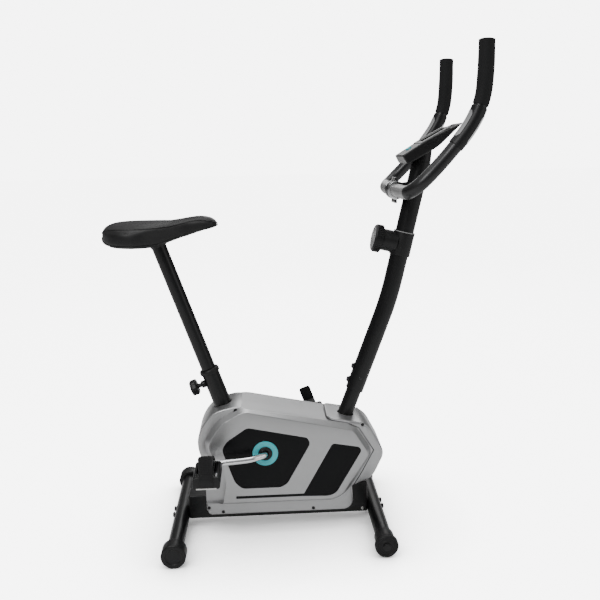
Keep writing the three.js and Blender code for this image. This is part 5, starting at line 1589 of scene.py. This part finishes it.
# ---------------------------------------------------------------- console
@dataclass
class Console:
    """The wedge-shaped console on its bracket."""

    shop: Workshop
    back_x: float = 335.5
    back_z: float = 914.0
    length: float = 158.0
    pitch: float = 28.3
    thick: float = 24.0
    half: float = 50.0
    screen_half: float = 38.0

    @property
    def up(self) -> Vector:
        """The direction that the face looks in."""
        return tilted(self.pitch, -1)

    @property
    def along(self) -> Vector:
        """The face's upward direction in the mid-plane."""
        return Vector((self.up.z, 0, -self.up.x))

    def point(self, u: float, v: float) -> Vector:
        """A place in the console's own directions, in metres."""
        offset = self.along * u + self.up * v
        return self.shop.at(self.back_x + offset.x, 0, self.back_z + offset.z)

    def box(self, us: Pair, half: float, vs: Pair, radius: float) -> Thing:
        """A rounded box in the console's own directions, centred on the mid-plane."""
        obj = box(Vector((us[0], -half, vs[0])) * MM, Vector((us[1], half, vs[1])) * MM, radius)
        turn = Matrix((self.along, Side.LEFT.out, self.up)).transposed().to_4x4()
        obj.data.transform(Matrix.Translation(self.point(0, 0)) @ turn)
        return obj

    def key(self, low: float, high: float, radius: float, sides: int = 40, soft: float = 0.0) -> Thing:
        """A round bar on the button's axis."""
        middle = self.length * 0.18
        return rod(self.point(middle, low), self.point(middle, high), radius, sides, soft)

    def build(self) -> None:
        """Builds the console's pieces."""
        shop, corners = self.shop, []
        for u, v, r in ((0, 0, 3), (2, -self.thick, 5), (82.2, -23.5, 14), (158, -3, 3), (79, 4, 30)):
            place = self.point(u, v) / MM
            corners.append((place.x - shop.shift, place.z, r))
        u0, u1, half = self.length * 0.36, self.length * 0.78, self.screen_half
        housing = cut(shop.slab(corners, -self.half, self.half, edge=3.4),
                      self.box((u0 - GAP, u1 + GAP), half + GAP, (-2.7, 20), 0.6), self.key(-7.8, 20, 7.3))
        shop.place(smooth_by(housing), "black_plastic", "frame", "console_housing")
        shop.place(self.box((u0, u1), half, (-2.4, -0.8), 0.4), "screen_face", "frame", "console_screen")
        shop.place(self.key(-6, 4.5, 7, 48, 1.4), "turquoise_ring", "button_body", "console_button")
        shop.place(self.box((-0.6, 2.2), 45, (-20.5, -3.2), 1.0), "grey_plastic", "frame",
                   name="console_end_panel")
        bezel = cut(self.box((u0 - 5, u1 + 5), half + 5, (1.0, 4.6), 1.2),
                    self.box((u0 + 0.8, u1 - 0.8), half - 1, (-6, 12), 1.0))
        shop.place(smooth_by(bezel), "grey_plastic", "frame", name="console_bezel")
        self.bracket()

    def bracket(self) -> None:
        """The plug in the mast's mouth and the head that carries the console."""
        mast = self.shop.mast_path
        profile = fillet([(0.01, -26), (18.2, -26), (18.2, GAP), (22, GAP), (17, 40), (0.01, 40)], 1.2)
        body = cut(turned(profile, mast.points()[-1], mast.upper, 56),
                   self.box((-60, 260), 80, (-self.thick - GAP, 200), 0.1))
        self.shop.place(smooth_by(body), "black_plastic", "frame", "console_bracket")


# ---------------------------------------------------------------- studio
@dataclass
class Studio:
    """Pale floor, soft lights and the camera."""

    aim: Triple = (0, 0, 0.55)
    camera_place: Triple = (-0.05588, -1.73707, 0.92620)
    camera_turn: Triple = (2.71092, 11.45245, -1.22944)
    lens: float = 43.715
    sensor: float = 36.0

    def build(self) -> None:
        """Builds the stage round the bike."""
        self.floor()
        self.surroundings()
        for name, place, size, power in (
                ("key", (-1.5, -2.6, 2.9), 1.4, 62), ("fill", (2.6, -1.4, 1.5), 2.0, 14),
                ("rim", (0.6, 2.6, 2.4), 2.0, 30), ("overhead", (-0.3, 0, 3.2), 1.8, 34)):
            self.light(name, Vector(place), size, power)
        self.camera()

    @staticmethod
    def seen_level(graph: Graph, lit: float, seen: float) -> Socket:
        """A strength that is low where it lights the bike and high where the camera looks at it.

        Args:
            graph: the tree's graph.
            lit: the strength that reaches the bike.
            seen: the strength behind the bike.

        Returns:
            The strength's socket.
        """
        ray = graph.add("ShaderNodeLightPath", output="Is Camera Ray")
        return graph.span(ray, to_min=lit, to_max=seen)

    def surroundings(self) -> None:
        """A white room that lights the bike only a little: pale overhead, dim near the horizon."""
        world = bpy.data.worlds.new("studio")
        bpy.context.scene.world = world
        world.use_nodes = True
        graph = Graph(world.node_tree)
        height = graph.coordinate(graph.add("ShaderNodeTexCoord", output="Generated"), "Z")
        pale = graph.span(height, from_min=0.0, to_min=0.12, from_max=0.75, to_max=1.4)
        ray = graph.add("ShaderNodeLightPath", output="Is Camera Ray")
        graph.feed(world.node_tree.nodes["Background"], {"Strength": self.seen_level(graph, 0.34, 6.5),
                                                         "Color": graph.math("MAXIMUM", pale, ray)})

    def floor(self) -> None:
        """A pale floor that meets the white surroundings, with a soft shadow painted into its glow by ambient
        occlusion round the bike.
        """
        work = bmesh.new()
        bmesh.ops.create_grid(work, x_segments=1, y_segments=1, size=30)
        floor = finish_mesh(work)
        floor.name, floor.location.z = "floor", -0.0005
        material = bpy.data.materials.new("floor_paper")
        material.use_nodes = True
        graph = Graph(material.node_tree)
        # Painted shadow: the glow that the camera sees is dimmed by ambient occlusion near the bike.
        painted_contact_shadow = graph.add("ShaderNodeAmbientOcclusion", {"Distance": 0.3}, "AO", samples=8)
        glow_with_painted_shadow = graph.math("MULTIPLY", graph.math("POWER", painted_contact_shadow, 2.2), self.seen_level(graph, 0.0, 5.9))
        graph.feed(material.node_tree.nodes["Principled BSDF"], {
            "Base Color": (0.95, 0.95, 0.95, 1), "Roughness": 0.9, "Emission Color": (1.0, 1.0, 1.0, 1),
            "Emission Strength": glow_with_painted_shadow})
        floor.data.materials.append(material)

    def light(self, name: str, place: Vector, size: float, power: float) -> None:
        """One soft square light aimed at the bike."""
        lamp = bpy.data.lights.new(name, "AREA")
        lamp.size, lamp.energy = size, power
        obj = link_new(lamp, name)
        obj.location = place
        obj.rotation_euler = (Vector(self.aim) - place).to_track_quat("-Z", "Y").to_euler()

    def camera(self) -> None:
        """The view from the rider's right, slightly above the saddle."""
        data = bpy.data.cameras.new("view")
        data.lens, data.sensor_width = self.lens, self.sensor
        yaw, pitch, roll = (math.radians(a) for a in self.camera_turn)
        ahead = Vector((math.sin(yaw) * math.cos(pitch), math.cos(yaw) * math.cos(pitch), -math.sin(pitch)))
        right = Vector((math.cos(yaw), -math.sin(yaw), 0))
        up = right.cross(ahead)
        across = right * math.cos(roll) + up * math.sin(roll)
        over = up * math.cos(roll) - right * math.sin(roll)
        camera = link_new(data, "view")
        camera.matrix_world = (Matrix.Translation(self.camera_place)
                               @ Matrix((across, over, -ahead)).transposed().to_4x4())
        bpy.context.scene.camera = camera


def main() -> None:
    """Builds the bike around the frame."""
    logging.basicConfig(level=logging.INFO, format="%(message)s")
    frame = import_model()
    shop = Workshop(frame)
    for group in (FrameWeldment, Feet, Casing, Drive, Seat, MastGroup, Handlebar, Console):
        group(shop).build()
    Studio().build()


if __name__ == "__main__":
    main()
